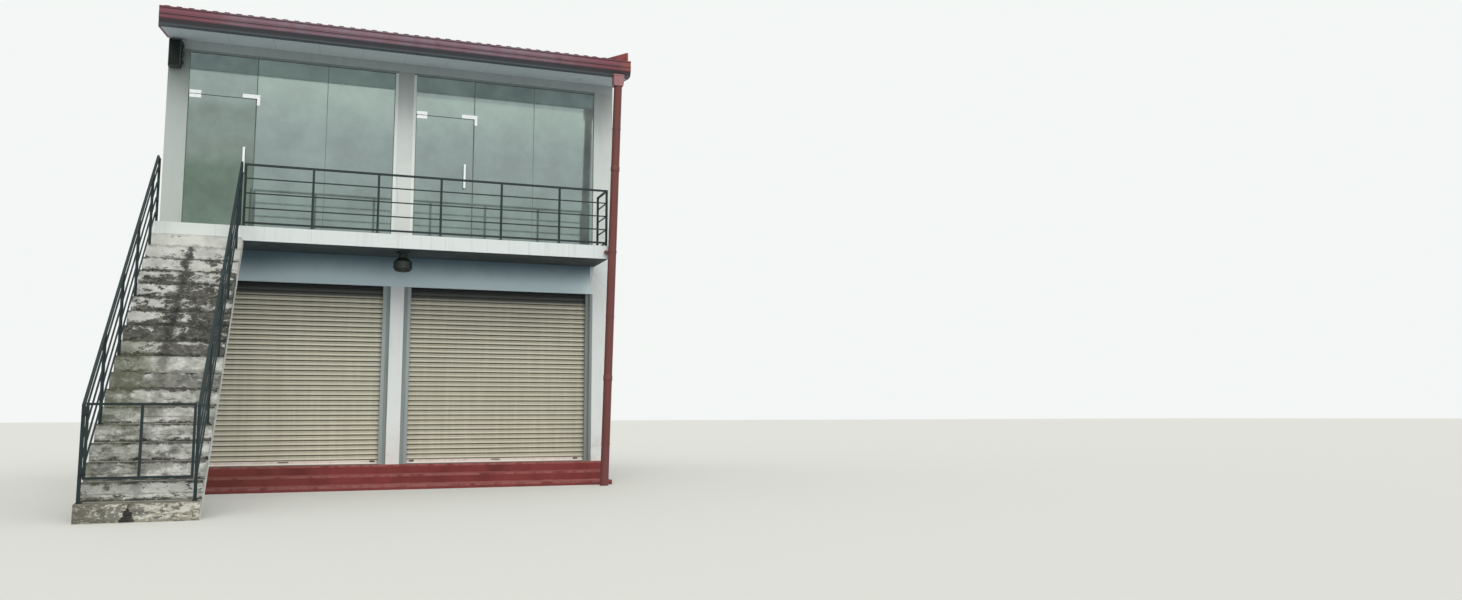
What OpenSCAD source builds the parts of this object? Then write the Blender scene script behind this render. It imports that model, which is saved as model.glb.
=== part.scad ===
// Two-storey shop building: two shuttered shops below, two glazed shops above behind a balcony,
// reached by an outside concrete stair. Millimetres, +Z up, the street front looks towards -Y.
// The origin is on the ground, under the face of the front wall, on the line of the centre pier.

/* [Building] */

// outer face of the left wall, measured left of the centre line
left_face = 3200; // [3000:10:3400]
// outer face of the right wall, measured right of the centre line
right_face = 3280; // [3200:10:3500]
// front wall face to rear wall face (the photo hides it)
building_depth = 6500; // [5000:50:8000]
// thickness of all outer walls
wall_thickness = 200; // [150:10:250]
// height of the shop floor and shutter sill above the ground
sill_height = 326; // [280:1:360]
// balcony floor above the ground, also the rise of the stair
floor_height = 3600; // [3400:10:3800]
// thickness of the first floor and of the balcony
slab_thickness = 200; // [150:10:240]
// balcony front edge to the wall face
balcony_depth = 900; // [800:10:1100]
// right end of the balcony
balcony_right = 3010; // [2950:5:3050]

/* [Front steps] */

// depth of each red tread in front of the shops
plinth_going = 310; // [250:5:330]
// how far the top tread comes out of the wall face
plinth_nosing = 90; // [60:5:120]
// rise of the second and third riser; the first takes what is left
plinth_rise = 129; // [110:1:135]
// right end of the red steps
plinth_right = 3150; // [3050:10:3200]

/* [Shutters] */

// width of the pier between the two shutters
lower_pier_width = 193; // [150:1:260]
// sideways place of that pier's middle
lower_pier_x = 12; // [-40:1:40]
// width of the end piers beside the shutters
lower_end_pier = 337; // [280:1:380]
// height of the header over the shutters
header_height = 440; // [300:10:600]
// width of a shutter guide
guide_width = 60; // [50:1:90]
// depth of a shutter guide, front to back
guide_depth = 110; // [90:5:140]
// how far the guides stand behind the wall face
guide_set_back = 40; // [20:5:60]
// height of one shutter slat
slat_pitch = 80; // [60:1:100]
// how far a slat bulges out of its groove
slat_bulge = 14; // [8:1:18]
// thickness of the shutter curtain
slat_thickness = 6; // [4:1:8]
// height of the bar at the foot of a shutter
bottom_bar_height = 56; // [40:1:80]

/* [Glass shop fronts] */

// left edge of the left opening, left of the centre line
glass_left = 2928; // [2850:1:2960]
// right edge of the right opening
glass_right = 2977; // [2900:1:3050]
// left and right side of the centre pier, with its channels
centre_pier_left = -109; // [-160:1:-80]
// right side of the centre pier with its channels
centre_pier_right = 200; // [150:1:240]
// width of the channel that holds the glass
channel_width = 40; // [25:1:50]
// top of the glass below the eaves edge of the sheets
glass_drop = 232; // [225:1:320]
// height of the glass over the doors
transom_height = 643; // [560:1:700]
// lower end of the pull handles above the floor
handle_foot = 920; // [850:5:980]
// upper end of the pull handles above the floor
handle_top = 1290; // [1250:5:1400]
// left door leaf: its right edge
door_left_edge = -2034; // [-2100:1:-1980]
// joint between the two fixed panes of the left shop
joint_left = -1071; // [-1120:1:-1020]
// right door leaf: its right edge
door_right_edge = 1074; // [1020:1:1120]
// joint between the two fixed panes of the right shop
joint_right = 2005; // [1950:1:2060]
// thickness of the glass
glass_thickness = 12; // [8:1:15]
// open joint between two panes
glass_gap = 6; // [5:1:8]
// wall face to the front of the glass
glass_set_back = 20; // [15:1:60]

/* [Roof] */

// roof slope in degrees
roof_pitch = 12; // [8:0.5:15]
// eaves edge of the sheets in front of the wall face
eave_reach = 950; // [920:5:1000]
// underside of the sheets at that edge
eave_height = 6500; // [6450:5:6560]
// rear edge of the sheets behind the rear wall
rear_reach = 200; // [100:10:300]
// spacing of the sheet ribs
rib_pitch = 147; // [120:1:200]
// height of the sheet ribs
rib_height = 32; // [20:1:38]
// thickness of the roof sheets
sheet_thickness = 3; // [2:1:4]
// depth of the purlins
purlin_depth = 75; // [60:5:100]
// width of the purlins
purlin_width = 50; // [40:5:60]
// number of purlins
purlin_count = 8; // [6:1:10]
// depth of the rafters
rafter_depth = 100; // [80:5:110]
// width of the rafters
rafter_width = 60; // [50:5:80]
// underside of the soffit at the wall, below the eaves edge of the sheets
soffit_drop_wall = 100; // [90:5:120]
// underside of the soffit at the gutter, below the eaves edge of the sheets
soffit_drop_eave = 235; // [225:5:250]
// thickness of the soffit board
soffit_thickness = 15; // [10:1:20]
// gutter front to back
gutter_depth = 150; // [130:5:160]
// top of the gutter above the eaves edge of the sheets
gutter_lift = 10; // [5:1:14]
// height of the gutter's front face
gutter_face = 150; // [140:5:155]
// how far the underside lies below the front face
gutter_lip = 90; // [80:1:92]
// how far the front of the underside stands behind the front face
gutter_lip_in = 45; // [30:1:55]
// thickness of the gutter sheet
gutter_sheet = 5; // [3:1:6]
// right barge flashing above the underside of the sheets
barge_rise = 170; // [140:5:200]
// left barge flashing above the underside of the sheets
low_barge_rise = 45; // [42:1:60]
// width of the sloped capping that leans on the right barge
capping_width = 320; // [250:10:350]
// height of the barge flashing
barge_height = 360; // [350:10:420]
// thickness of the barge flashing
barge_thickness = 30; // [20:1:40]

/* [Rear windows] */

// width of a rear window
window_width = 1200; // [900:10:1500]
// height of a rear window
window_height = 1100; // [900:10:1300]
// rear window sill above the floor
window_sill = 1000; // [850:10:1100]
// middle of a rear window beside the middle of the rear wall
window_offset = 1540; // [1200:10:1800]
// face width of a window frame
window_frame = 50; // [35:1:70]
// depth of a window frame
window_frame_depth = 60; // [45:1:80]
// rear wall face to the outer side of a window frame
window_set_back = 50; // [30:5:70]
// thickness of the window glass
window_glass = 6; // [4:1:8]

/* [Rainwater] */

// sideways place of the downpipe at its top
pipe_x = 3120; // [3080:5:3130]
// how far the foot of the downpipe stands to the left of its top
pipe_lean = 155; // [100:5:170]
// outer diameter of the downpipe
pipe_diameter = 125; // [110:5:130]
// wall of the downpipe
pipe_wall = 5; // [3:1:8]
// open gap between the downpipe and the balcony edge
pipe_gap = 6; // [5:1:20]
// top of the downpipe below the gutter
pipe_drop = 110; // [80:5:140]
// height of the rainwater head
head_height = 180; // [160:5:200]
// width of the rainwater head
head_width = 160; // [150:5:170]

/* [Stair] */

// number of risers from the ground to the balcony
riser_count = 19; // [18:1:20]
// tread depth, nosing to nosing
going = 208.3; // [200:0.1:230]
// left edge of the stair, left of the centre line
stair_left = 3156; // [3100:1:3200]
// right edge of the stair, left of the centre line
stair_right = 2060; // [1900:1:2150]
// sloping slab under the steps, measured upright
waist = 165; // [120:5:200]
// how far the slab's top lies above the inner corners of the steps
waist_lift = 4; // [3:1:8]

/* [Railings] */

// handrail height above the nosings and above the balcony floor
rail_height = 870; // [850:5:1100]
// size of the square posts
post_size = 30; // [26:1:50]
// size of the top rail
top_rail = 28; // [22:1:50]
// size of the thin rails
thin_rail = 16; // [12:1:30]
// size of the lowest rail
foot_rail = 25; // [20:1:35]
// centre of the lowest thin rail above the floor
low_rail = 50; // [40:5:80]
// spacing of the thin rails
rail_spacing = 205; // [180:5:220]
// spacing of the balcony posts
post_spacing = 864; // [800:1:900]
// railing centre line behind the balcony edge
railing_inset = 30; // [25:1:60]
// end of the right side railing in front of the wall face
return_gap = 300; // [200:10:400]
// top post of the left balustrade in front of the wall face
top_post_in = 770; // [650:10:840]

/* [Gate] */

// lower edge of the gate above the ground
gate_bottom = 415; // [400:5:480]
// upper edge of the gate above the ground
gate_top = 1160; // [1100:5:1180]
// size of the gate bars
gate_bar = 25; // [20:1:30]
// open gap around the gate
gate_gap = 8; // [6:1:15]

/* [Lamps] */

// lamp under the balcony in front of the wall face
slab_lamp_reach = 575; // [400:5:700]
// lamp in the soffit in front of the wall face
soffit_lamp_reach = 370; // [300:5:500]
// lamp in the soffit in from the right wall's face
soffit_lamp_in = 625; // [500:5:900]
// diameter of the lamp in the soffit
soffit_lamp_size = 90; // [70:5:120]
// height of the lamp in the soffit
soffit_lamp_height = 24; // [15:1:30]
// height of the lamp box on the left pier
light_height = 400; // [300:10:450]
// top of that lamp box below the soffit
light_drop = 40; // [30:5:80]

/* [Node] */

// the piece to draw

/* [Hidden] */

$fn = 48;
pitch_rise = tan(roof_pitch);
slab_bottom = floor_height - slab_thickness;
header_bottom = slab_bottom - header_height;
glass_top = eave_height - glass_drop;
door_top = glass_top - transom_height;
soffit_wall = eave_height - soffit_drop_wall;
soffit_eave = eave_height - soffit_drop_eave;
gutter_top = eave_height + gutter_lift;
gutter_bottom = gutter_top - gutter_face;
gutter_foot = gutter_bottom - gutter_lip;
pipe_top = gutter_foot - pipe_drop;
rafter_foot = purlin_depth + rafter_depth;
// sloping faces that bear on each other stay this far apart
seat_gap = 0.3;
inner_left = -left_face + wall_thickness;
inner_right = right_face - wall_thickness;
rear_inner = building_depth - wall_thickness;
riser = floor_height / riser_count;
stair_rise = riser / going;
lower_open_left = -left_face + lower_end_pier;
lower_open_right = right_face - lower_end_pier;
lower_pier_0 = lower_pier_x - lower_pier_width / 2;
lower_pier_1 = lower_pier_x + lower_pier_width / 2;
gutter_front = -eave_reach - 50;
gutter_back = gutter_front + gutter_depth;
pipe_y = -balcony_depth - pipe_gap - pipe_diameter / 2;
pipe_foot = pipe_x - pipe_lean;
shutter_y = guide_set_back + guide_depth - 40;
left_rail_x = -stair_left + post_size / 2 + 10;
right_rail_x = -stair_right - post_size / 2 - 40;
rail_y = -balcony_depth + railing_inset;
glass_y0 = glass_set_back;
glass_y1 = glass_set_back + glass_thickness;

// underside of the roof sheets at depth y
function roof_at(y) = eave_height + (y + eave_reach) * pitch_rise;
// front edge of step i, the balcony edge being the last
function nosing_y(i) = -balcony_depth - (riser_count - i) * going;
// height of the line through the nosings at depth y
function nosing_line(y) = floor_height + (y + balcony_depth) * stair_rise;
// the lowest rail of a railing is stouter than the others
function rail_size(k) = k == 0 ? foot_rail : thin_rail;
// top of the sloping slab under the steps
function waist_top(y) = nosing_line(y) - riser + waist_lift;

module block(x0, x1, y0, y1, z0, z1) {
  translate([x0, y0, z0])
    cube([x1 - x0, y1 - y0, z1 - z0]);
}

// a side-view outline (depth, height) drawn out along X
module along_x(x0, x1, outline) {
  translate([x0, 0, 0])
    rotate([90, 0, 90])
      linear_extrude(x1 - x0)
        polygon(outline);
}

// a front-view outline (sideways, height) drawn out along Y
module along_y(y0, y1, outline) {
  translate([0, y1, 0])
    rotate([90, 0, 0])
      linear_extrude(y1 - y0)
        polygon(outline);
}

// a bar that follows a slope, cut upright at both ends
module sloping_bar(x, width, y0, z0, y1, z1, height) {
  along_x(x - width / 2, x + width / 2,
    [[y0, z0 - height / 2], [y1, z1 - height / 2], [y1, z1 + height / 2], [y0, z0 + height / 2]]);
}

module ground_slab() {
  color([0.62, 0.6, 0.57])
    block(-left_face, right_face, 0, building_depth, 0, sill_height);
}

module front_steps() {
  y3 = -plinth_nosing;
  y2 = y3 - plinth_going;
  y1 = y2 - plinth_going;
  z2 = sill_height - plinth_rise;
  z1 = z2 - plinth_rise;
  color([0.43, 0.18, 0.17])
    along_x(-left_face, plinth_right,
      [[y1, 0], [0, 0], [0, sill_height], [y3, sill_height], [y3, z2], [y2, z2], [y2, z1], [y1, z1]]);
}

// a party wall, with its top course running forward over the end of the front beam
module side_wall(x0, x1) {
  along_x(x0, x1,
    [[wall_thickness, sill_height], [building_depth, sill_height],
     [building_depth, roof_at(building_depth)], [0, roof_at(0)],
     [0, roof_at(0) - rafter_foot], [wall_thickness, roof_at(wall_thickness) - rafter_foot]]);
}

module left_wall() {
  color([0.8, 0.81, 0.8])
    side_wall(-left_face, inner_left);
}

module right_wall() {
  color([0.8, 0.81, 0.8])
    side_wall(inner_right, right_face);
}

// rear windows, two a storey
window_middle = (inner_left + inner_right) / 2;
window_x = [window_middle - window_offset, window_middle + window_offset];
window_z = [sill_height + window_sill, floor_height + window_sill];
window_rear = building_depth - window_set_back;

module rear_wall() {
  color([0.8, 0.81, 0.8])
    difference() {
      along_x(inner_left, inner_right,
        [[rear_inner, sill_height], [building_depth, sill_height],
         [building_depth, roof_at(building_depth) - rafter_foot - seat_gap],
         [rear_inner, roof_at(rear_inner) - rafter_foot - seat_gap]]);
      for (x = window_x, z = window_z)
        block(x - window_width / 2, x + window_width / 2, rear_inner - 1, building_depth + 1,
          z, z + window_height);
    }
}

module rear_window_frames() {
  color([0.75, 0.77, 0.77])
    for (x = window_x, z = window_z)
      difference() {
        block(x - window_width / 2, x + window_width / 2, window_rear - window_frame_depth, window_rear,
          z, z + window_height);
        for (s = [0, 1])
          block(x - window_width / 2 + window_frame + s * (window_width / 2 - window_frame / 2),
            x - window_frame / 2 + s * (window_width / 2 - window_frame / 2),
            window_rear - window_frame_depth - 1, window_rear + 1,
            z + window_frame, z + window_height - window_frame);
      }
}

module rear_window_glass() {
  color([0.5, 0.6, 0.58, 0.6])
    for (x = window_x, z = window_z)
      for (s = [0, 1])
        block(x - window_width / 2 + window_frame + s * (window_width / 2 - window_frame / 2),
          x - window_frame / 2 + s * (window_width / 2 - window_frame / 2),
          window_rear - window_frame_depth / 2 - window_glass / 2,
          window_rear - window_frame_depth / 2 + window_glass / 2,
          z + window_frame, z + window_height - window_frame);
}

module lower_left_pier() {
  color([0.82, 0.83, 0.82])
    block(-left_face, lower_open_left, 0, wall_thickness, sill_height, slab_bottom);
}

module lower_centre_pier() {
  color([0.82, 0.83, 0.82])
    block(lower_pier_0, lower_pier_1, 0, wall_thickness, sill_height, header_bottom);
}

module lower_right_pier() {
  color([0.82, 0.83, 0.82])
    block(lower_open_right, right_face, 0, wall_thickness, sill_height, slab_bottom);
}

module shutter_header() {
  color([0.45, 0.52, 0.58])
    block(lower_open_left, lower_open_right, 0, guide_set_back + 20, header_bottom, slab_bottom);
}

// left edges of the four guides and the side their slot faces
guide_places = [
  [lower_open_left, 1],
  [lower_pier_0 - guide_width, -1],
  [lower_pier_1, 1],
  [lower_open_right - guide_width, -1]];
slot_depth = 35;
slot_width = slat_bulge + slat_thickness + 12;
slot_front = shutter_y - slat_bulge - 6;

module shutter_guides() {
  color([0.5, 0.55, 0.58])
    for (g = guide_places)
      difference() {
        block(g[0], g[0] + guide_width, guide_set_back, guide_set_back + guide_depth,
          sill_height, header_bottom);
        block(g[1] > 0 ? g[0] + guide_width - slot_depth : g[0] - 1,
          g[1] > 0 ? g[0] + guide_width + 1 : g[0] + slot_depth,
          slot_front, slot_front + slot_width, sill_height - 1, header_bottom + 1);
      }
}

curtain_foot = sill_height + 8;
curtain_top = slab_bottom - 60;
slat_count = floor((curtain_top - curtain_foot - bottom_bar_height) / slat_pitch);
slat_base = curtain_foot + bottom_bar_height;

// one slat: a rounded bead over the lower groove, then a flat face
slat_shape = [[0, 0], [0.05, 0.55], [0.12, 0.92], [0.2, 1], [0.29, 0.9], [0.37, 0.6], [0.46, 0.42], [0.9, 0.3],
  [0.96, 0.08]];

function slat_front(i) = [for (p = slat_shape)
  [shutter_y - p[1] * slat_bulge, slat_base + (i + p[0]) * slat_pitch]];
function slat_back(i) = [for (p = slat_shape)
  [shutter_y + slat_thickness - p[1] * slat_bulge, slat_base + (i + p[0]) * slat_pitch]];

module curtain(x0, x1) {
  front = [for (i = [0 : slat_count - 1]) each slat_front(i)];
  back = [for (i = [0 : slat_count - 1]) each slat_back(i)];
  n = len(back);
  top = [[shutter_y, slat_base + slat_count * slat_pitch],
    [shutter_y + slat_thickness, slat_base + slat_count * slat_pitch]];
  along_x(x0, x1, concat(front, top, [for (k = [1 : n]) back[n - k]]));
}

shutter_play = 12;

module shutter_left() {
  color([0.66, 0.64, 0.56])
    curtain(lower_open_left + guide_width - slot_depth + shutter_play,
      lower_pier_0 - guide_width + slot_depth - shutter_play);
}

module shutter_right() {
  color([0.66, 0.64, 0.56])
    curtain(lower_pier_1 + guide_width - slot_depth + shutter_play,
      lower_open_right - guide_width + slot_depth - shutter_play);
}

module bottom_bar(x0, x1) {
  along_x(x0, x1,
    [[shutter_y - slat_bulge - 12, sill_height], [shutter_y + 14, sill_height],
     [shutter_y + 14, slat_base], [shutter_y - 8, slat_base],
     [shutter_y - 8, sill_height + 26], [shutter_y - slat_bulge - 12, sill_height + 20]]);
}

module shutter_bottom_bars() {
  color([0.82, 0.78, 0.68]) {
    bottom_bar(lower_open_left + guide_width + 4, lower_pier_0 - guide_width - 4);
    bottom_bar(lower_pier_1 + guide_width + 4, lower_open_right - guide_width - 4);
  }
}

module first_floor_slab() {
  color([0.85, 0.86, 0.86])
    translate([0, 0, slab_bottom])
      linear_extrude(slab_thickness)
        polygon([[-left_face, -balcony_depth], [balcony_right, -balcony_depth], [balcony_right, 0],
          [right_face, 0], [right_face, wall_thickness], [inner_right, wall_thickness],
          [inner_right, rear_inner], [inner_left, rear_inner], [inner_left, wall_thickness],
          [-left_face, wall_thickness]]);
}

module upper_left_pier() {
  color([0.8, 0.81, 0.8])
    block(-left_face, -glass_left, 0, wall_thickness, floor_height, glass_top);
}

module upper_centre_pier() {
  color([0.82, 0.83, 0.82])
    block(centre_pier_left + channel_width, centre_pier_right - channel_width,
      0, wall_thickness, floor_height, glass_top);
}

module upper_right_pier() {
  color([0.8, 0.81, 0.8])
    block(glass_right, right_face, 0, wall_thickness, floor_height, glass_top);
}

module upper_beam() {
  foot = rafter_foot + seat_gap;
  color([0.8, 0.81, 0.8])
    along_x(-left_face, right_face,
      [[0, glass_top], [wall_thickness, glass_top],
       [wall_thickness, roof_at(wall_thickness) - foot], [0, roof_at(0) - foot]]);
}

// the two glazed openings, inside their side channels
bays = [[-glass_left, centre_pier_left], [centre_pier_right, glass_right]];
head_channel = 30;
sill_channel = 20;
channel_depth = 60;

module glass_channels() {
  color([0.86, 0.87, 0.87]) {
    for (x = [centre_pier_left, centre_pier_right - channel_width])
      block(x, x + channel_width, 0, channel_depth, floor_height, glass_top);
    for (b = bays) {
      difference() {
        block(b[0], b[1], 0, channel_depth, glass_top - head_channel, glass_top);
        block(b[0] - 1, b[1] + 1, glass_y0 - 3, glass_y1 + 3, glass_top - head_channel - 1,
          glass_top - head_channel + 18);
      }
    }
    // sill channels run under the fixed panes only
    for (b = [[door_left_edge + glass_gap, centre_pier_left], [door_right_edge + glass_gap, glass_right]])
      difference() {
        block(b[0], b[1], 0, channel_depth, floor_height, floor_height + sill_channel);
        block(b[0] - 1, b[1] + 1, glass_y0 - 3, glass_y1 + 3, floor_height + 8,
          floor_height + sill_channel + 1);
      }
  }
}

pane_foot = floor_height + 8;
pane_head = glass_top - head_channel + 18;

module pane(x0, x1, z0, z1) {
  block(x0 + glass_gap / 2, x1 - glass_gap / 2, glass_y0, glass_y1, z0, z1);
}

module shop_glass_left() {
  color([0.45, 0.55, 0.52, 0.6]) {
    pane(-glass_left, door_left_edge, door_top + glass_gap, pane_head);
    pane(door_left_edge, joint_left, pane_foot, pane_head);
    pane(joint_left, centre_pier_left, pane_foot, pane_head);
  }
}

module shop_glass_right() {
  color([0.45, 0.55, 0.52, 0.6]) {
    pane(centre_pier_right, door_right_edge, door_top + glass_gap, pane_head);
    pane(door_right_edge, joint_right, pane_foot, pane_head);
    pane(joint_right, glass_right, pane_foot, pane_head);
  }
}

module glass_door_left() {
  color([0.45, 0.55, 0.52, 0.6])
    pane(-glass_left, door_left_edge, floor_height + 10, door_top);
}

module glass_door_right() {
  color([0.45, 0.55, 0.52, 0.6])
    pane(centre_pier_right, door_right_edge, floor_height + 10, door_top);
}

// metal plates clamped on the front of the glass, and the pull handles
patch_thickness = 9;

module patch(x0, x1, z0, z1) {
  block(x0, x1, glass_y0 - patch_thickness, glass_y0, z0, z1);
}

module door_set(hinge_x, edge_x) {
  patch(hinge_x + 14, hinge_x + 166, door_top + 8, door_top + 58);
  patch(hinge_x + 14, hinge_x + 166, door_top - 52, door_top - 2);
  patch(hinge_x + 14, hinge_x + 166, floor_height + 12, floor_height + 62);
  // floor pivot that carries the leaf
  block(hinge_x + 30, hinge_x + 110, glass_y0 - patch_thickness, glass_y1 + 6,
    floor_height, floor_height + 10);
  patch(hinge_x + 40, hinge_x + 90, floor_height + 5, floor_height + 20);
  patch(edge_x - 186, edge_x - 5, door_top + 8, door_top + 66);
  patch(edge_x - 6, edge_x + 46, door_top + 8, door_top + 66);
  patch(edge_x + 5, edge_x + 46, door_top - 90, door_top + 66);
  for (z = [handle_foot + 60, handle_top - 60])
    block(edge_x - 144, edge_x - 122, glass_y0 - 50, glass_y0, floor_height + z - 11, floor_height + z + 11);
  block(edge_x - 148, edge_x - 118, glass_y0 - 72, glass_y0 - 42, floor_height + handle_foot,
    floor_height + handle_top);
}

module door_fittings() {
  color([0.8, 0.82, 0.83]) {
    door_set(-glass_left, door_left_edge);
    door_set(centre_pier_right, door_right_edge);
  }
}

module eaves_soffit() {
  color([0.83, 0.84, 0.83])
    along_x(-left_face, right_face,
      [[gutter_back, soffit_eave], [0, soffit_wall], [0, soffit_wall + soffit_thickness],
       [gutter_back, soffit_eave + soffit_thickness]]);
}

rafter_x = [inner_left + 40, -1500, 40, 1580, inner_right - 40];

module roof_rafters() {
  color([0.45, 0.45, 0.44])
    for (x = rafter_x)
      along_x(x - rafter_width / 2, x + rafter_width / 2,
        [[gutter_back, roof_at(gutter_back) - purlin_depth - rafter_depth],
         [building_depth, roof_at(building_depth) - purlin_depth - rafter_depth],
         [building_depth, roof_at(building_depth) - purlin_depth],
         [gutter_back, roof_at(gutter_back) - purlin_depth]]);
}

function purlin_y(i) = gutter_back + 10
  + i * (building_depth - purlin_width - gutter_back - 10) / (purlin_count - 1);

module roof_purlins() {
  color([0.5, 0.48, 0.45])
    for (i = [0 : purlin_count - 1])
      along_x(inner_left, inner_right,
        [[purlin_y(i), roof_at(purlin_y(i)) - purlin_depth + seat_gap],
         [purlin_y(i) + purlin_width, roof_at(purlin_y(i) + purlin_width) - purlin_depth + seat_gap],
         [purlin_y(i) + purlin_width, roof_at(purlin_y(i) + purlin_width)],
         [purlin_y(i), roof_at(purlin_y(i))]]);
}

rib_count = floor((left_face + right_face) / rib_pitch);
sheet_margin = (left_face + right_face - rib_count * rib_pitch) / 2;
function rib_line(lift) = [for (i = [0 : rib_count - 1])
  for (p = [[0.1, 0], [0.3, 1], [0.7, 1], [0.9, 0]])
    [-left_face + sheet_margin + (i + p[0]) * rib_pitch, p[1] * rib_height + lift]];

module roof_sheets() {
  upper = rib_line(sheet_thickness);
  lower = rib_line(0);
  n = len(lower);
  length = (building_depth + rear_reach + eave_reach) / cos(roof_pitch);
  color([0.49, 0.27, 0.31])
    translate([0, -eave_reach, eave_height + seat_gap])
      rotate([roof_pitch, 0, 0])
        translate([0, length, 0])
          rotate([90, 0, 0])
            linear_extrude(length)
              polygon(concat([[-left_face + seat_gap, 0]], lower,
                [[right_face - seat_gap, 0], [right_face - seat_gap, sheet_thickness]],
                [for (k = [1 : n]) upper[n - k]], [[-left_face + seat_gap, sheet_thickness]]));
}

module front_gutter() {
  f = gutter_front;
  b = gutter_back;
  t = gutter_sheet;
  color([0.49, 0.27, 0.31]) {
    along_x(-left_face - 10, right_face + 35,
      [[f, gutter_bottom], [f + gutter_lip_in, gutter_foot], [b, gutter_foot], [b, gutter_top - 5],
       [b - t, gutter_top - 5], [b - t, gutter_foot + 6], [f + gutter_lip_in + 6, gutter_foot + 6],
       [f + t + 12, gutter_bottom],
       [f + t + 12, gutter_top - 15], [f + 12, gutter_top - 15], [f + 12, gutter_top],
       [f, gutter_top], [f, gutter_top - 20], [f + 8, gutter_top - 24], [f + 8, gutter_top - 84],
       [f, gutter_top - 88], [f, gutter_top - 104], [f + 8, gutter_top - 108],
       [f + 8, gutter_bottom + 22], [f, gutter_bottom + 18]]);
    // closed ends
    for (x = [-left_face - 10, right_face + 35 - t])
      along_x(x, x + t,
        [[f + 4, gutter_bottom], [f + gutter_lip_in + 3, gutter_foot], [b, gutter_foot], [b, gutter_top - 5],
         [f + 12, gutter_top - 5]]);
  }
}

barge_front = gutter_back + 2;
barge_rear = building_depth + rear_reach;

module barge(x0, x1, rise) {
  foot = barge_rise - barge_height;
  along_x(x0, x1,
    [[barge_front, soffit_eave], [0, soffit_wall], [0, roof_at(0) + foot], [barge_rear, roof_at(barge_rear) + foot],
     [barge_rear, roof_at(barge_rear) + rise], [barge_front, roof_at(barge_front) + rise]]);
}

// the flange that turns over the sheets
module barge_flange(x0, x1, rise) {
  along_x(x0, x1,
    [[barge_front, roof_at(barge_front) + rise - 6], [barge_rear, roof_at(barge_rear) + rise - 6],
     [barge_rear, roof_at(barge_rear) + rise], [barge_front, roof_at(barge_front) + rise]]);
}

// the capping that falls from the top of the right barge to the ribs, closed below
module sloped_capping() {
  y0 = barge_front + 40;
  low = rib_height + sheet_thickness + 1;
  high = barge_rise * cos(roof_pitch) - 2;
  translate([0, y0, roof_at(y0)])
    rotate([roof_pitch, 0, 0])
      translate([0, (barge_rear - y0 - 40) / cos(roof_pitch), 0])
        rotate([90, 0, 0])
          linear_extrude((barge_rear - y0 - 40) / cos(roof_pitch))
            polygon([[right_face - capping_width, low], [right_face + 1, low], [right_face + 1, high],
              [right_face - capping_width, low + 6]]);
}

module barge_flashings() {
  color([0.55, 0.27, 0.27]) {
    barge(-left_face - barge_thickness, -left_face, low_barge_rise);
    barge_flange(-left_face - 1, -left_face + 120, low_barge_rise);
    barge(right_face, right_face + barge_thickness, barge_rise);
    sloped_capping();
  }
}

module rear_fascia() {
  y = building_depth;
  color([0.55, 0.27, 0.27])
    block(-left_face, right_face, y, y + 20, roof_at(y) - purlin_depth - rafter_depth - 60, roof_at(y));
}

// the downpipe's middle at a height
function pipe_at(z) = pipe_foot + z * pipe_lean / pipe_top;

// a round bar along the leaning middle line of the downpipe, cut level at both ends
module pipe_bar(diameter, z0, z1) {
  intersection() {
    translate([pipe_foot, pipe_y, 0])
      rotate([0, atan(pipe_lean / pipe_top), 0])
        translate([0, 0, z0 - 20])
          cylinder(d = diameter, h = z1 - z0 + 60);
    block(pipe_foot - 200, pipe_x + 200, pipe_y - 200, pipe_y + 200, z0, z1);
  }
}

module rainwater_head() {
  top = gutter_foot;
  foot_half = pipe_diameter / 2 + 6;
  low_x = pipe_at(top - head_height);
  color([0.6, 0.4, 0.4])
    difference() {
      along_y(pipe_y - 70, pipe_y + 70,
        [[low_x - foot_half, top - head_height], [low_x + foot_half, top - head_height],
         [pipe_x + head_width / 2, top - head_height / 2], [pipe_x + head_width / 2, top],
         [pipe_x - head_width / 2, top], [pipe_x - head_width / 2, top - head_height / 2]]);
      pipe_bar(pipe_diameter + 0.6, top - head_height - 1, pipe_top);
      pipe_bar(pipe_diameter - 2 * pipe_wall, pipe_top - 1, top + 1);
    }
}

// height of the clamp that holds the pipe to the balcony edge
clamp_height = 36;
clamp_band = 5;

module downpipe() {
  clamp_foot = slab_bottom + slab_thickness / 2 - clamp_height / 2;
  clamp_x = pipe_at(clamp_foot);
  color([0.45, 0.25, 0.25])
    difference() {
      union() {
        pipe_bar(pipe_diameter, 0, pipe_top);
        pipe_bar(pipe_diameter + 2 * clamp_band, clamp_foot, clamp_foot + clamp_height);
        block(clamp_x - 110, clamp_x - 10, pipe_y, -balcony_depth, clamp_foot, clamp_foot + clamp_height);
      }
      pipe_bar(pipe_diameter - 2 * pipe_wall, -1, pipe_top + 1);
    }
}

function underside(y) = waist_top(y) - waist;
foot_y = nosing_y(1);
foot_front = foot_y - waist_top(foot_y) / stair_rise;
foot_back = foot_y - underside(foot_y) / stair_rise;
head_y = -balcony_depth + (slab_bottom - underside(-balcony_depth)) / stair_rise;

module stair_slab() {
  color([0.68, 0.68, 0.65])
    along_x(-stair_left, -stair_right,
      [[foot_front, 0], [foot_back, 0], [head_y, slab_bottom], [-balcony_depth, slab_bottom],
       [-balcony_depth, waist_top(-balcony_depth)]]);
}

module stair_steps() {
  color([0.7, 0.7, 0.67])
    for (i = [1 : riser_count - 1])
      along_x(-stair_left, -stair_right,
        [[nosing_y(i), waist_top(nosing_y(i)) + seat_gap],
         [nosing_y(i + 1) - (waist_lift + seat_gap) / stair_rise, i * riser],
         [nosing_y(i), i * riser]]);
}

// steps that carry a railing post
post_steps = [1, 5, 9, 13, 17];

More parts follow.
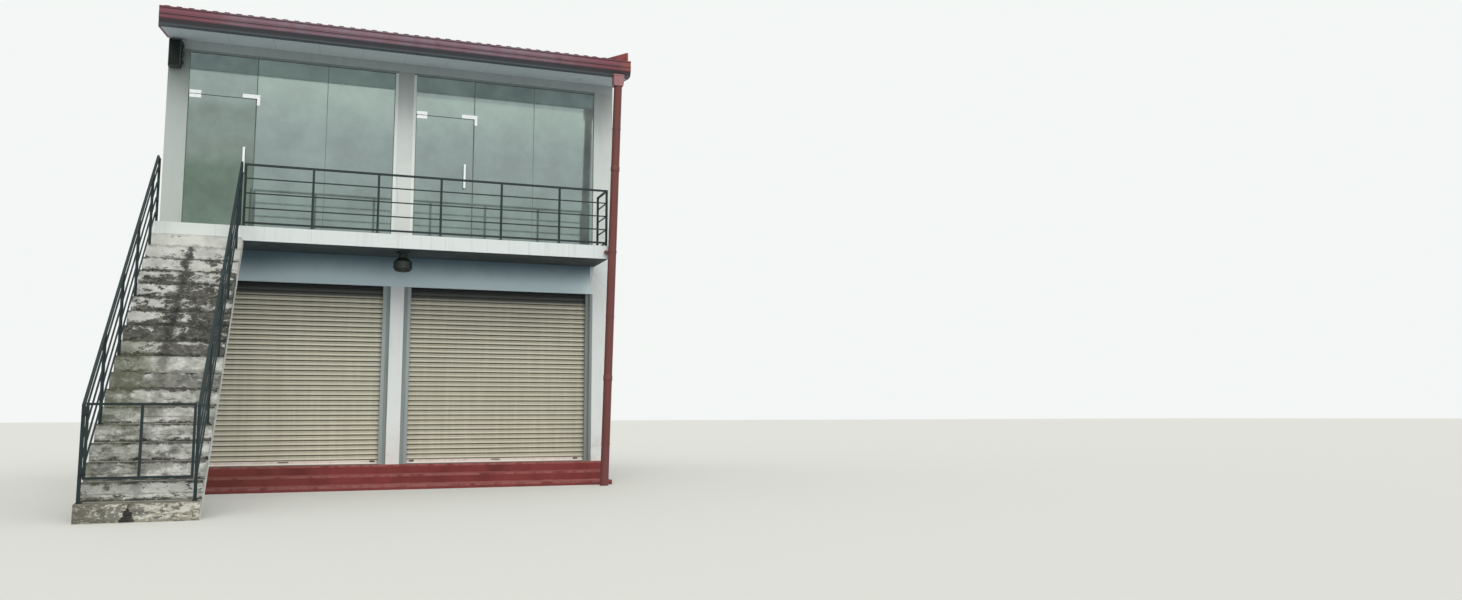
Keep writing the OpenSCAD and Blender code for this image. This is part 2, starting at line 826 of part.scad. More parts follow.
module flight_rails(x) {
  y0 = nosing_y(1) + going / 2;
  y1 = -balcony_depth + post_size / 2;
  slope = sqrt(1 + stair_rise * stair_rise);
  for (i = post_steps)
    block(x - post_size / 2, x + post_size / 2,
      nosing_y(i) + going / 2 - post_size / 2, nosing_y(i) + going / 2 + post_size / 2,
      i * riser, nosing_line(nosing_y(i) + going / 2) + rail_height - top_rail / 2);
  sloping_bar(x, top_rail, y0 - post_size / 2, nosing_line(y0 - post_size / 2) + rail_height - top_rail / 2,
    y1, nosing_line(y1) + rail_height - top_rail / 2, top_rail * slope);
  for (k = [0 : 3])
    sloping_bar(x, thin_rail, y0, nosing_line(y0) + rail_height - 200 * (k + 0.85),
      y1, nosing_line(y1) + rail_height - 200 * (k + 0.85), thin_rail * slope);
}

// the gate hangs between the two foot posts, flush with their front
gate_x0 = left_rail_x + post_size / 2 + gate_gap;
gate_x1 = right_rail_x - post_size / 2 - gate_gap;
gate_y0 = nosing_y(1) + going / 2 - post_size / 2;

// the hinge line of the gate stands in front of its bars
hinge_x = gate_x0 - gate_gap / 2;
hinge_y = gate_y0 - 18;
hinge_radius = 11;
pin_radius = 7;
pin_clearance = 0.3;
lug_height = 10;
barrel_height = 40;
hinge_heights = [gate_bottom + 60, gate_top - 110];

// a lug on the foot post with the pin that the gate's barrel drops over
module pintle(z) {
  post_face = left_rail_x + post_size / 2;
  block(post_face - 24, post_face, hinge_y - hinge_radius, gate_y0, z - lug_height, z);
  block(post_face - 1, hinge_x, hinge_y - hinge_radius, hinge_y + hinge_radius, z - lug_height, z);
  translate([hinge_x, hinge_y, z - lug_height])
    cylinder(r = hinge_radius, h = lug_height);
  translate([hinge_x, hinge_y, z - 1])
    cylinder(r = pin_radius, h = barrel_height - 3);
}

module balustrade_left() {
  color([0.25, 0.27, 0.28]) {
    flight_rails(left_rail_x);
    for (z = hinge_heights)
      pintle(z);
    // the top post, and the short level rails that reach it
    y0 = -balcony_depth + post_size / 2 - 1;
    block(left_rail_x - post_size / 2, left_rail_x + post_size / 2, -top_post_in - post_size / 2,
      -top_post_in + post_size / 2, floor_height, floor_height + rail_height);
    block(left_rail_x - top_rail / 2, left_rail_x + top_rail / 2, y0, -top_post_in,
      floor_height + rail_height - top_rail, floor_height + rail_height);
    for (k = [0 : 3])
      block(left_rail_x - thin_rail / 2, left_rail_x + thin_rail / 2, y0, -top_post_in,
        floor_height + rail_height - 200 * (k + 0.85) - thin_rail / 2,
        floor_height + rail_height - 200 * (k + 0.85) + thin_rail / 2);
  }
}

module balustrade_right() {
  color([0.25, 0.27, 0.28]) {
    flight_rails(right_rail_x);
    block(right_rail_x - post_size / 2, right_rail_x + post_size / 2, rail_y - post_size / 2,
      rail_y + post_size / 2, floor_height, floor_height + rail_height);
  }
}

module stair_gate() {
  b = gate_bar;
  mid = (gate_x0 + gate_x1) / 2;
  color([0.25, 0.27, 0.28]) {
    for (z = [gate_bottom, gate_top - b])
      block(gate_x0, gate_x1, gate_y0, gate_y0 + b, z, z + b);
    for (x = [gate_x0, mid - b / 2, gate_x1 - b])
      block(x, x + b, gate_y0, gate_y0 + b, gate_bottom, gate_top);
    for (z = hinge_heights)
      hinge_barrel(z + 0.5);
  }
}

module hinge_barrel(z) {
  difference() {
    union() {
      translate([hinge_x, hinge_y, z])
        cylinder(r = hinge_radius, h = barrel_height);
      block(hinge_x + 8, gate_x0 + gate_bar, hinge_y - hinge_radius, gate_y0, z, z + barrel_height);
    }
    translate([hinge_x, hinge_y, z - 1])
      cylinder(r = pin_radius + pin_clearance, h = barrel_height + 2);
  }
}

railing_left = -stair_right + 10 - post_size / 2;
railing_right = balcony_right - 28;

module balcony_railing() {
  z0 = floor_height;
  color([0.25, 0.27, 0.28]) {
    for (i = [0 : 5])
      block(railing_left + i * post_spacing - post_size / 2, railing_left + i * post_spacing + post_size / 2,
        rail_y - post_size / 2, rail_y + post_size / 2, z0, z0 + rail_height);
    block(railing_left, railing_right, rail_y - top_rail / 2, rail_y + top_rail / 2,
      z0 + rail_height - top_rail, z0 + rail_height);
    for (k = [0 : 3])
      block(railing_left, railing_right, rail_y - rail_size(k) / 2, rail_y + rail_size(k) / 2,
        z0 + low_rail + k * rail_spacing - rail_size(k) / 2,
        z0 + low_rail + k * rail_spacing + rail_size(k) / 2);
    // side return at the right end
    for (y = [rail_y, -return_gap])
      block(railing_right - post_size / 2, railing_right + post_size / 2, y - post_size / 2,
        y + post_size / 2, z0, z0 + rail_height);
    block(railing_right - top_rail / 2, railing_right + top_rail / 2, rail_y, -return_gap,
      z0 + rail_height - top_rail, z0 + rail_height);
    for (k = [0 : 3])
      block(railing_right - thin_rail / 2, railing_right + thin_rail / 2, rail_y, -return_gap,
        z0 + low_rail + k * rail_spacing - rail_size(k) / 2,
        z0 + low_rail + k * rail_spacing + rail_size(k) / 2);
  }
}

// lamp box on the left pier, on a short wall bracket
light_top = soffit_wall - light_drop;

module wall_floodlight() {
  color([0.2, 0.2, 0.21]) {
    block(-left_face + 10, -left_face + 165, -110, -20, light_top - light_height, light_top);
    block(-left_face + 60, -left_face + 120, -20, 0, light_top - light_height * 0.75,
      light_top - light_height * 0.25);
  }
}

module slab_lamp() {
  color([0.15, 0.15, 0.16])
    translate([lower_pier_x + 28, -slab_lamp_reach, slab_bottom])
      rotate([180, 0, 0])
        rotate_extrude()
          polygon([[0, 0], [95, 0], [95, 30], [60, 36], [60, 90], [130, 150], [130, 250], [110, 270], [0, 270]]);
}

// round lamp that lies flat against the sloping soffit
module soffit_lamp() {
  fall = (soffit_wall - soffit_eave) / -gutter_back;
  color([0.85, 0.85, 0.82])
    translate([right_face - soffit_lamp_in, -soffit_lamp_reach, soffit_wall - soffit_lamp_reach * fall])
      rotate([atan(fall), 0, 0])
        translate([0, 0, -soffit_lamp_height - seat_gap])
          cylinder(d = soffit_lamp_size, h = soffit_lamp_height);
}

ground_slab();
front_steps();
left_wall();
right_wall();
rear_wall();
rear_window_frames();
rear_window_glass();
lower_left_pier();
lower_centre_pier();
lower_right_pier();
shutter_header();
shutter_guides();
shutter_left();
shutter_right();
shutter_bottom_bars();
first_floor_slab();
upper_left_pier();
upper_centre_pier();
upper_right_pier();
upper_beam();
glass_channels();
shop_glass_left();
shop_glass_right();
glass_door_left();
glass_door_right();
door_fittings();
eaves_soffit();
roof_rafters();
roof_purlins();
roof_sheets();
front_gutter();
barge_flashings();
rear_fascia();
rainwater_head();
downpipe();
stair_slab();
stair_steps();
balustrade_left();
balustrade_right();
stair_gate();
balcony_railing();
wall_floodlight();
slab_lamp();
soffit_lamp();
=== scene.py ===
import math

import bmesh
import bpy
from mathutils import Matrix, Vector, noise


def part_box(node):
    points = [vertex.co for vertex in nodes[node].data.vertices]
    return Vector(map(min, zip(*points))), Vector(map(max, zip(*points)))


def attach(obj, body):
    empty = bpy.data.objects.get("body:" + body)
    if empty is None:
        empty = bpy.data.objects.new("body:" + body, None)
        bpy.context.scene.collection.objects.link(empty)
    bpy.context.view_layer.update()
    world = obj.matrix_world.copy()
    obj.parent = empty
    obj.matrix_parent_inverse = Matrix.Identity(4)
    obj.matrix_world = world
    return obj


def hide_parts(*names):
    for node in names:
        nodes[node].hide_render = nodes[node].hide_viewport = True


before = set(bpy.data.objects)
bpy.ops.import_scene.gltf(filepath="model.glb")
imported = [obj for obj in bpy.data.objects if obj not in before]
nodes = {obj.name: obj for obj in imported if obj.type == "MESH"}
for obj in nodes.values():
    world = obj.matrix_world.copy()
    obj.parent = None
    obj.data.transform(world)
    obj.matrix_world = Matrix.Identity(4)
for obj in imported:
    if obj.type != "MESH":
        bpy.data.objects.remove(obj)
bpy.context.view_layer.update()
print("stage: frame loaded,", len(nodes), "nodes")


def srgb(r, g, b):
    # a colour as seen on screen, 0 to 255, as Blender's linear colour
    def channel(v):
        v = v / 255
        return v / 12.92 if v <= 0.04045 else ((v + 0.055) / 1.055) ** 2.4
    return (channel(r), channel(g), channel(b), 1.0)


def mathsNode(operation, reflected=False):
    def result(self, other):
        pair = (other, self) if reflected else (self, other)
        return self.shader.maths(operation, *pair)
    return result


class Wire:
    # a shader socket that can stand in a sum
    def __init__(self, shader, socket):
        self.shader = shader
        self.socket = socket

    __add__, __radd__ = mathsNode("ADD"), mathsNode("ADD", True)
    __sub__, __rsub__ = mathsNode("SUBTRACT"), mathsNode("SUBTRACT", True)
    __mul__, __rmul__ = mathsNode("MULTIPLY"), mathsNode("MULTIPLY", True)
    __truediv__, __pow__, __mod__ = mathsNode("DIVIDE"), mathsNode("POWER"), mathsNode("FLOORED_MODULO")

    def __abs__(self):
        return self.shader.maths("ABSOLUTE", self)


class Shader:
    def __init__(self, name):
        self.material = bpy.data.materials.new(name)
        self.material.use_nodes = True
        self.tree = self.material.node_tree
        self.surface = self.tree.nodes["Principled BSDF"]
        self.position = self.node("ShaderNodeTexCoord", {}, {}, "Object")
        self.x = self.along(self.position, "X")
        self.y = self.along(self.position, "Y")
        self.z = self.along(self.position, "Z")

    def feed(self, socket, value):
        if isinstance(value, Wire):
            self.tree.links.new(value.socket, socket)
        else:
            socket.default_value = value

    def node(self, kind, settings, inputs, output=0):
        made = self.tree.nodes.new(kind)
        for key, value in settings.items():
            setattr(made, key, value)
        for key, value in inputs.items():
            self.feed(made.inputs[key], value)
        return Wire(self, made.outputs[output])

    def maths(self, operation, a, b=0.0):
        return self.node("ShaderNodeMath", {"operation": operation}, {0: a, 1: b})

    def most(self, *masks):
        result = masks[0]
        for mask in masks[1:]:
            result = self.maths("MAXIMUM", result, mask)
        return result

    def along(self, vector, axis):
        return self.node("ShaderNodeSeparateXYZ", {}, {"Vector": vector}, axis)

    def facing(self, axis):
        return self.along(self.node("ShaderNodeNewGeometry", {}, {}, "Normal"), axis)

    def stretched(self, factors):
        if factors is None:
            return self.position
        return self.node("ShaderNodeVectorMath", {"operation": "MULTIPLY"}, {0: self.position, 1: factors})

    def noise(self, scale, detail=4.0, rough=0.55, stretch=None):
        return self.node("ShaderNodeTexNoise", {}, {"Vector": self.stretched(stretch), "Scale": scale,
                                                    "Detail": detail, "Roughness": rough}, "Fac")

    def cells(self, scale, feature="DISTANCE_TO_EDGE", stretch=None):
        return self.node("ShaderNodeTexVoronoi", {"feature": feature},
                         {"Vector": self.stretched(stretch), "Scale": scale}, "Distance")

    def ramp(self, value, low, high):
        # 0 at low and 1 at high, also where low is the larger one
        return self.node("ShaderNodeMapRange", {"interpolation_type": "SMOOTHSTEP"},
                         {"Value": value, "From Min": low, "From Max": high, "To Min": 0.0, "To Max": 1.0})

    def between(self, value, rise, fall):
        # 1 from the end of the rise to the start of the fall
        return self.ramp(value, *rise) * self.ramp(value, fall[1], fall[0])

    def blend(self, factor, a, b):
        return self.node("ShaderNodeMix", {"data_type": "RGBA"}, {0: factor, 6: a, 7: b}, 2)

    def relief(self, height, distance, strength=0.6):
        bump = self.node("ShaderNodeBump", {},
                         {"Height": height, "Distance": distance, "Strength": strength}, "Normal")
        self.feed(self.surface.inputs["Normal"], bump)

    def done(self, colour, rough, metal=0.0, gloss=0.5, glow=0.0):
        for name, value in (("Base Color", colour), ("Roughness", rough), ("Metallic", metal),
                            ("Specular IOR Level", gloss), ("Emission Strength", glow)):
            self.feed(self.surface.inputs[name], value)
        return self.material


def dress(material, *names):
    for each in names:
        nodes[each].data.materials.clear()
        nodes[each].data.materials.append(material)


def paintOf(node):
    return nodes[node].data.materials[0]


# painted render: streaks, blotches, splashes near the floor, hairline cracks, and painted shade under the
# eaves
wallLook = {"paint": srgb(232, 236, 231), "grime": srgb(158, 160, 150), "beamGrime": srgb(166, 172, 164),
            "left": srgb(197, 203, 198), "leftShadedGrime": srgb(136, 142, 132), "pier": srgb(238, 241, 238),
            "pierGrime": srgb(180, 172, 166), "splashed": srgb(166, 158, 152),
            "speck": srgb(120, 120, 112), "floor": 0.33, "splashTop": 1.03, "eaves": (5.3, 6.3),
            "crack": 0.004}


def wallPaint(name, paint, grime, strength=1.0, shade=0.0):
    s = Shader(name)
    blotch = s.noise(1.7, 6.0, 0.6)
    streak = s.noise(2.2, 5.0, 0.6, (5.0, 5.0, 0.45))
    fine = s.noise(60.0, 3.0, 0.6)
    low = s.ramp(s.z, wallLook["splashTop"], wallLook["floor"]) * s.ramp(s.noise(5.0, 5.0, 0.65), 0.3, 0.7)
    dirt = s.ramp(streak, 0.52, 0.78) * 0.35 + s.ramp(blotch, 0.5, 0.8) * 0.22 + low * 0.55
    colour = s.blend(dirt * strength, paint, grime)
    colour = s.blend(s.ramp(fine, 0.55, 0.75) * 0.08, colour, wallLook["speck"])
    if shade:
        # painted shade under the eaves, in the grime colour
        under = s.ramp(s.z, *wallLook["eaves"]) * (0.7 + 0.6 * s.noise(2.6, 5.0, 0.6, (3.0, 3.0, 0.5)))
        colour = s.blend(under * shade, colour, grime)
    crack = s.ramp(s.cells(0.9, stretch=(1.0, 1.0, 0.6)), wallLook["crack"], 0.0)
    crack = crack * s.ramp(s.noise(0.8, 3.0, 0.5), 0.52, 0.6)
    colour = s.blend(crack * 0.5, colour, grime)
    s.relief(fine * 0.6 + s.noise(14.0, 4.0, 0.6) * 0.8 - crack, 0.0025, 0.5)
    return s.done(colour, 0.82 + 0.1 * blotch, gloss=0.3)


dress(wallPaint("wallPaint", wallLook["paint"], wallLook["grime"], strength=0.7, shade=0.6),
      "upper_right_pier", "upper_centre_pier")
dress(wallPaint("beamPaint", wallLook["paint"], wallLook["beamGrime"], strength=0.7, shade=0.45),
      "upper_beam")
# the left pier's darker paint and grime are a shaded copy: painted shade from the building beside it
dress(wallPaint("leftShadedPaint", wallLook["left"], wallLook["leftShadedGrime"], strength=0.7, shade=0.8),
      "upper_left_pier")
dress(wallPaint("pierPaint", wallLook["pier"], wallLook["pierGrime"], strength=0.6),
      "lower_centre_pier", "lower_left_pier")
dress(wallPaint("splashedPaint", wallLook["pier"], wallLook["splashed"], strength=0.65),
      "lower_right_pier")


# party and rear walls: thin render with the courses of the blocks showing faintly through
sideLook = {"paint": srgb(206, 208, 202), "grime": srgb(150, 150, 138), "joint": srgb(140, 138, 128),
            "foot": srgb(120, 118, 100), "splashTop": 1.1, "block": (0.4, 0.2), "bed": (0.012, 0.003)}


def partyWall():
    s = Shader("partyWall")
    long, tall = sideLook["block"]
    course = s.maths("FLOOR", s.z / tall)
    inCourse = (s.z / tall) % 1.0
    inBlock = ((s.x + s.y) / long + course * 0.5) % 1.0
    bed = s.ramp(s.maths("MINIMUM", inCourse, 1.0 - inCourse) * tall, *sideLook["bed"])
    head = s.ramp(s.maths("MINIMUM", inBlock, 1.0 - inBlock) * long, *sideLook["bed"])
    joint = s.most(bed, head)
    cloud = s.noise(0.9, 6.0, 0.62)
    run = s.noise(1.6, 5.0, 0.62, (5.0, 5.0, 0.3))
    colour = s.blend(s.ramp(cloud, 0.4, 0.8) * 0.4, sideLook["paint"], sideLook["grime"])
    colour = s.blend(s.ramp(run, 0.52, 0.78) * 0.45, colour, sideLook["grime"])
    colour = s.blend(joint * 0.22 * s.ramp(cloud, 0.3, 0.6), colour, sideLook["joint"])
    foot = s.ramp(s.z, sideLook["splashTop"], wallLook["floor"])
    foot = foot * s.ramp(s.noise(3.0, 5.0, 0.65), 0.3, 0.7)
    colour = s.blend(foot * 0.6, colour, sideLook["foot"])
    s.relief(s.noise(45.0, 4.0, 0.6) * 0.7 - joint * 0.5 + s.noise(9.0, 4.0, 0.6), 0.003, 0.5)
    return s.done(colour, 0.85 + 0.08 * cloud, gloss=0.28)


dress(partyWall(), "left_wall", "right_wall", "rear_wall")
print("stage: walls painted")


# base of the building: bare concrete, splashed near the ground
baseLook = {"pale": srgb(168, 164, 156), "dark": srgb(128, 124, 116), "wet": srgb(92, 90, 80)}


def baseConcrete():
    s = Shader("baseConcrete")
    cloud = s.noise(1.3, 7.0, 0.65)
    pits = s.ramp(s.cells(60.0, "F1"), 0.0, 0.28)
    wet = s.ramp(s.noise(4.0, 5.0, 0.6, (4.0, 4.0, 0.5)), 0.5, 0.75)
    colour = s.blend(s.ramp(cloud, 0.35, 0.75), baseLook["pale"], baseLook["dark"])
    colour = s.blend(wet * 0.5, colour, baseLook["wet"])
    s.relief(s.noise(45.0, 5.0, 0.7) + pits * 0.4, 0.003, 0.5)
    return s.done(colour, 0.85 + 0.1 * cloud, gloss=0.3)


dress(baseConcrete(), "ground_slab")


# red front steps, paler where feet and rain wore the edges; an edge is its height and its soft width
stepLook = {"red": srgb(132, 60, 58), "dark": srgb(98, 44, 42), "worn": srgb(166, 106, 100),
            "mud": srgb(92, 60, 50), "edges": ((0.054, 0.03), (0.183, 0.022), (0.312, 0.022))}


def redScreed():
    s = Shader("redScreed")
    cloud = s.noise(2.1, 6.0, 0.6)
    colour = s.blend(s.ramp(cloud, 0.4, 0.75) * 0.75, stepLook["red"], stepLook["dark"])
    edge = s.most(*[s.ramp(abs(s.z - height), soft, 0.006) for height, soft in stepLook["edges"]])
    edge = edge * s.ramp(s.noise(9.0, 4.0, 0.6), 0.3, 0.6)
    colour = s.blend(edge * 0.8, colour, stepLook["worn"])
    top = s.ramp(s.facing("Z"), 0.4, 0.9)
    colour = s.blend(top * s.ramp(s.noise(3.0, 5.0, 0.6), 0.3, 0.75) * 0.6, colour, stepLook["worn"])
    colour = s.blend(s.ramp(s.x, -0.4, -1.9) * 0.25, colour, stepLook["mud"])
    s.relief(s.noise(38.0, 5.0, 0.7), 0.003, 0.5)
    return s.done(colour, 0.7 + 0.2 * cloud, gloss=0.35)


dress(redScreed(), "front_steps")
print("stage: base and steps")


def coatedMetal(name, paint, worn, rust, streaks=0.5, rustAmount=0.1, shine=0.45):
    s = Shader(name)
    run = s.noise(3.0, 5.0, 0.6, (7.0, 7.0, 0.35))
    patch = s.noise(2.3, 6.0, 0.6)
    colour = s.blend(s.ramp(run, 0.45, 0.75) * streaks, paint, worn)
    colour = s.blend(s.ramp(patch, 0.55, 0.85) * streaks * 0.6, colour, worn)
    spot = s.ramp(s.noise(26.0, 5.0, 0.7), 0.66, 0.76) * rustAmount * 4.0
    colour = s.blend(spot, colour, rust)
    s.relief(s.noise(90.0, 2.0, 0.5) + spot * 0.5, 0.0008, 0.35)
    return s.done(colour, shine + 0.18 * patch + 0.2 * spot, gloss=0.45)


# roller shutters: cream slats with dirt and painted shade in their grooves, a painted highlight on each
# bead, and painted shade under the header
shutterLook = {"paint": srgb(174, 169, 149), "pale": srgb(192, 188, 167), "dust": srgb(150, 142, 120),
               "groove": srgb(48, 47, 41), "bead": srgb(236, 231, 211), "dull": srgb(104, 104, 90),
               "shade": srgb(42, 48, 52), "deep": srgb(12, 20, 26), "foot": 0.39, "pitch": 0.072,
               "top": 2.785, "upperContrast": (1.4, 2.3)}


def slats():
    s = Shader("shutterSlats")
    top = shutterLook["top"]
    along = ((s.z - shutterLook["foot"]) / shutterLook["pitch"]) % 1.0
    # dark band at the foot of each slat: dirt, and painted shade under the bead
    groove = s.ramp(along, 0.22, 0.1)
    # a painted highlight along the top of each slat's bead
    bead = s.between(along, (0.2, 0.3), (0.46, 0.66))
    run = s.noise(2.5, 5.0, 0.6, (6.0, 6.0, 0.4))
    patch = s.noise(1.1, 5.0, 0.6)
    # the painted highlight and the dark grooves grow stronger higher up
    upperContrast = s.ramp(s.z, *shutterLook["upperContrast"])
    colour = s.blend(s.ramp(run, 0.35, 0.8), shutterLook["paint"], shutterLook["pale"])
    colour = s.blend(s.ramp(patch, 0.45, 0.8) * 0.35, colour, shutterLook["dust"])
    colour = s.blend(bead * (0.5 + 0.4 * upperContrast), colour, shutterLook["bead"])
    colour = s.blend(groove * (0.8 + 0.18 * upperContrast), colour, shutterLook["groove"])
    colour = s.blend(0.03 + 0.09 * s.ramp(s.x, 0.1, 0.4), colour, shutterLook["dull"])
    # painted shade under the header, deepest at the top
    colour = s.blend(s.ramp(s.z, top - 0.02, top + 0.03) * 0.85, colour, shutterLook["shade"])
    colour = s.blend(s.ramp(s.z, top + 0.03, top + 0.16) * 0.75, colour, shutterLook["deep"])
    s.relief(s.noise(120.0, 2.0, 0.5), 0.0006, 0.3)
    return s.done(colour, 0.5 + 0.2 * run, gloss=0.4)


guideLook = {"paint": srgb(140, 148, 146), "worn": srgb(112, 118, 114), "rust": srgb(104, 70, 48)}
dress(slats(), "shutter_left", "shutter_right")
dress(coatedMetal("guidePaint", guideLook["paint"], guideLook["worn"], guideLook["rust"]),
      "shutter_guides")


# bottom bars: a pale painted highlight low down on each bar, over a dark rubber edge that also stands for
# the shadow beneath the bar
barLook = {"paint": srgb(226, 212, 204), "worn": srgb(190, 174, 160), "lipHighlight": srgb(240, 232, 224),
           "rubber": srgb(58, 50, 46)}


def barPaint():
    s = Shader("bottomBar")
    run = s.noise(3.0, 5.0, 0.6, (5.0, 5.0, 0.8))
    colour = s.blend(s.ramp(run, 0.4, 0.75) * 0.5, barLook["paint"], barLook["worn"])
    # painted highlight along the lower edge
    colour = s.blend(s.ramp(s.z, 0.352, 0.346), colour, barLook["lipHighlight"])
    # dark rubber edge, also painted shadow beneath the bar
    colour = s.blend(s.ramp(s.z, 0.336, 0.333), colour, barLook["rubber"])
    s.relief(s.noise(110.0, 2.0, 0.5), 0.0006, 0.3)
    return s.done(colour, 0.45 + 0.15 * run, gloss=0.4)


dress(barPaint(), "shutter_bottom_bars")


# fascia over the shutters: pale below, with painted shade under the slab, coming lower at the left beside
# the stair
fasciaLook = {"pale": srgb(233, 252, 254), "paintedShade": srgb(114, 138, 148), "stain": srgb(150, 162, 166),
              "shadeHeights": (3.03, 3.42)}


def fasciaPaint():
    s = Shader("fasciaPaint")
    cloud = s.noise(1.6, 5.0, 0.6)
    # painted shade under the slab, coming lower at the left beside the stair
    height = s.z + (cloud - 0.5) * 0.1 + s.ramp(s.x, -1.2, -1.9) * 0.06
    colour = s.blend(s.ramp(height, *fasciaLook["shadeHeights"]), fasciaLook["pale"], fasciaLook["paintedShade"])
    colour = s.blend(s.ramp(cloud, 0.5, 0.8) * 0.15, colour, fasciaLook["stain"])
    s.relief(s.noise(90.0, 2.0, 0.5), 0.0008, 0.35)
    return s.done(colour, 0.5 + 0.15 * cloud, gloss=0.4)


dress(fasciaPaint(), "shutter_header")


# floor slab: white painted edge, tiled balcony floor, underside in painted shade, darker towards the right
slabLook = {"paint": srgb(231, 236, 233), "stain": srgb(176, 174, 164), "tile": srgb(150, 146, 138),
            "darkTile": srgb(128, 124, 116), "joint": srgb(96, 94, 88), "under": srgb(42, 58, 63),
            "deep": srgb(20, 34, 34), "tileSize": 0.3, "edgeJoint": 0.6}


def slabPaint():
    s = Shader("slabPaint")

    def jointAt(value, size, inner, outer):
        # 1 on the lines where value is a whole number of sizes
        return s.ramp(abs((value / size) % 1.0 - 0.5), inner, outer)

    drip = s.ramp(s.noise(2.4, 5.0, 0.65, (6.0, 6.0, 0.3)), 0.5, 0.8)
    colour = s.blend(drip * 0.35, slabLook["paint"], slabLook["stain"])
    colour = s.blend(jointAt(s.x, slabLook["edgeJoint"], 0.492, 0.497) * 0.3, colour, slabLook["stain"])
    joint = s.most(*[jointAt(value, slabLook["tileSize"], 0.482, 0.492) for value in (s.x, s.y)])
    tile = s.blend(s.ramp(s.noise(3.0, 5.0, 0.6), 0.35, 0.7), slabLook["tile"], slabLook["darkTile"])
    tile = s.blend(joint, tile, slabLook["joint"])
    top = s.ramp(s.facing("Z"), 0.4, 0.9)
    colour = s.blend(top, colour, tile)
    # painted shade on the underside, darker towards the right
    under = s.ramp(s.facing("Z"), -0.4, -0.9)
    paintedShade = s.blend(s.ramp(s.x, 0.3, 2.2), slabLook["under"], slabLook["deep"])
    colour = s.blend(under * (0.85 + 0.2 * s.noise(2.0, 5.0, 0.6)), colour, paintedShade)
    s.relief(s.noise(55.0, 4.0, 0.6) - joint * top * 2.0, 0.002, 0.45)
    return s.done(colour, 0.75 - 0.25 * top, gloss=0.35)


dress(slabPaint(), "first_floor_slab")
print("stage: shutters and slab")


# outside stair: pale risers between seams of dirt and painted shadow, a dark streak, mottled stains and
# algae
stairLook = {"pale": srgb(238, 238, 231), "grey": srgb(202, 202, 194), "dark": srgb(26, 28, 25),
             "brown": srgb(78, 75, 67), "algae": srgb(104, 109, 82), "yellow": srgb(222, 214, 188),
             "film": srgb(150, 149, 138), "rim": srgb(244, 245, 241), "riser": 3.6 / 19, "going": 0.2083,
             "streak": -2.66, "mark": -2.69, "rimLow": 3.439, "rimWide": (0.034, 0.014)}
# heights between which each kind of dirt comes in, going up, and goes out again
stainLook = {"dirty": (3.3, 3.0), "worst": ((1.5, 1.85), (2.72, 2.96)), "film": ((0.3, 0.5), (1.4, 1.9)),
             "left": (2.0, 1.4), "right": ((1.7, 1.74), (2.24, 2.3)), "streak": ((1.45, 1.75), (3.2, 3.3)),
             "green": ((0.8, 1.2), (1.7, 2.2)), "first": (0.2, 0.17)}


def stairBase(name):
    s = Shader(name)
    cloud = s.noise(3.1, 7.0, 0.65)
    mottle = s.noise(9.0, 8.0, 0.78, (1.0, 1.0, 1.7))
    colour = s.blend(s.ramp(cloud, 0.42, 0.78), stairLook["pale"], stairLook["grey"])
    s.relief(s.noise(50.0, 5.0, 0.7) - mottle * 1.5 + s.noise(11.0, 5.0, 0.6), 0.006, 0.7)
    return s, cloud, mottle, colour, s.ramp(abs(s.facing("X")), 0.5, 0.8)


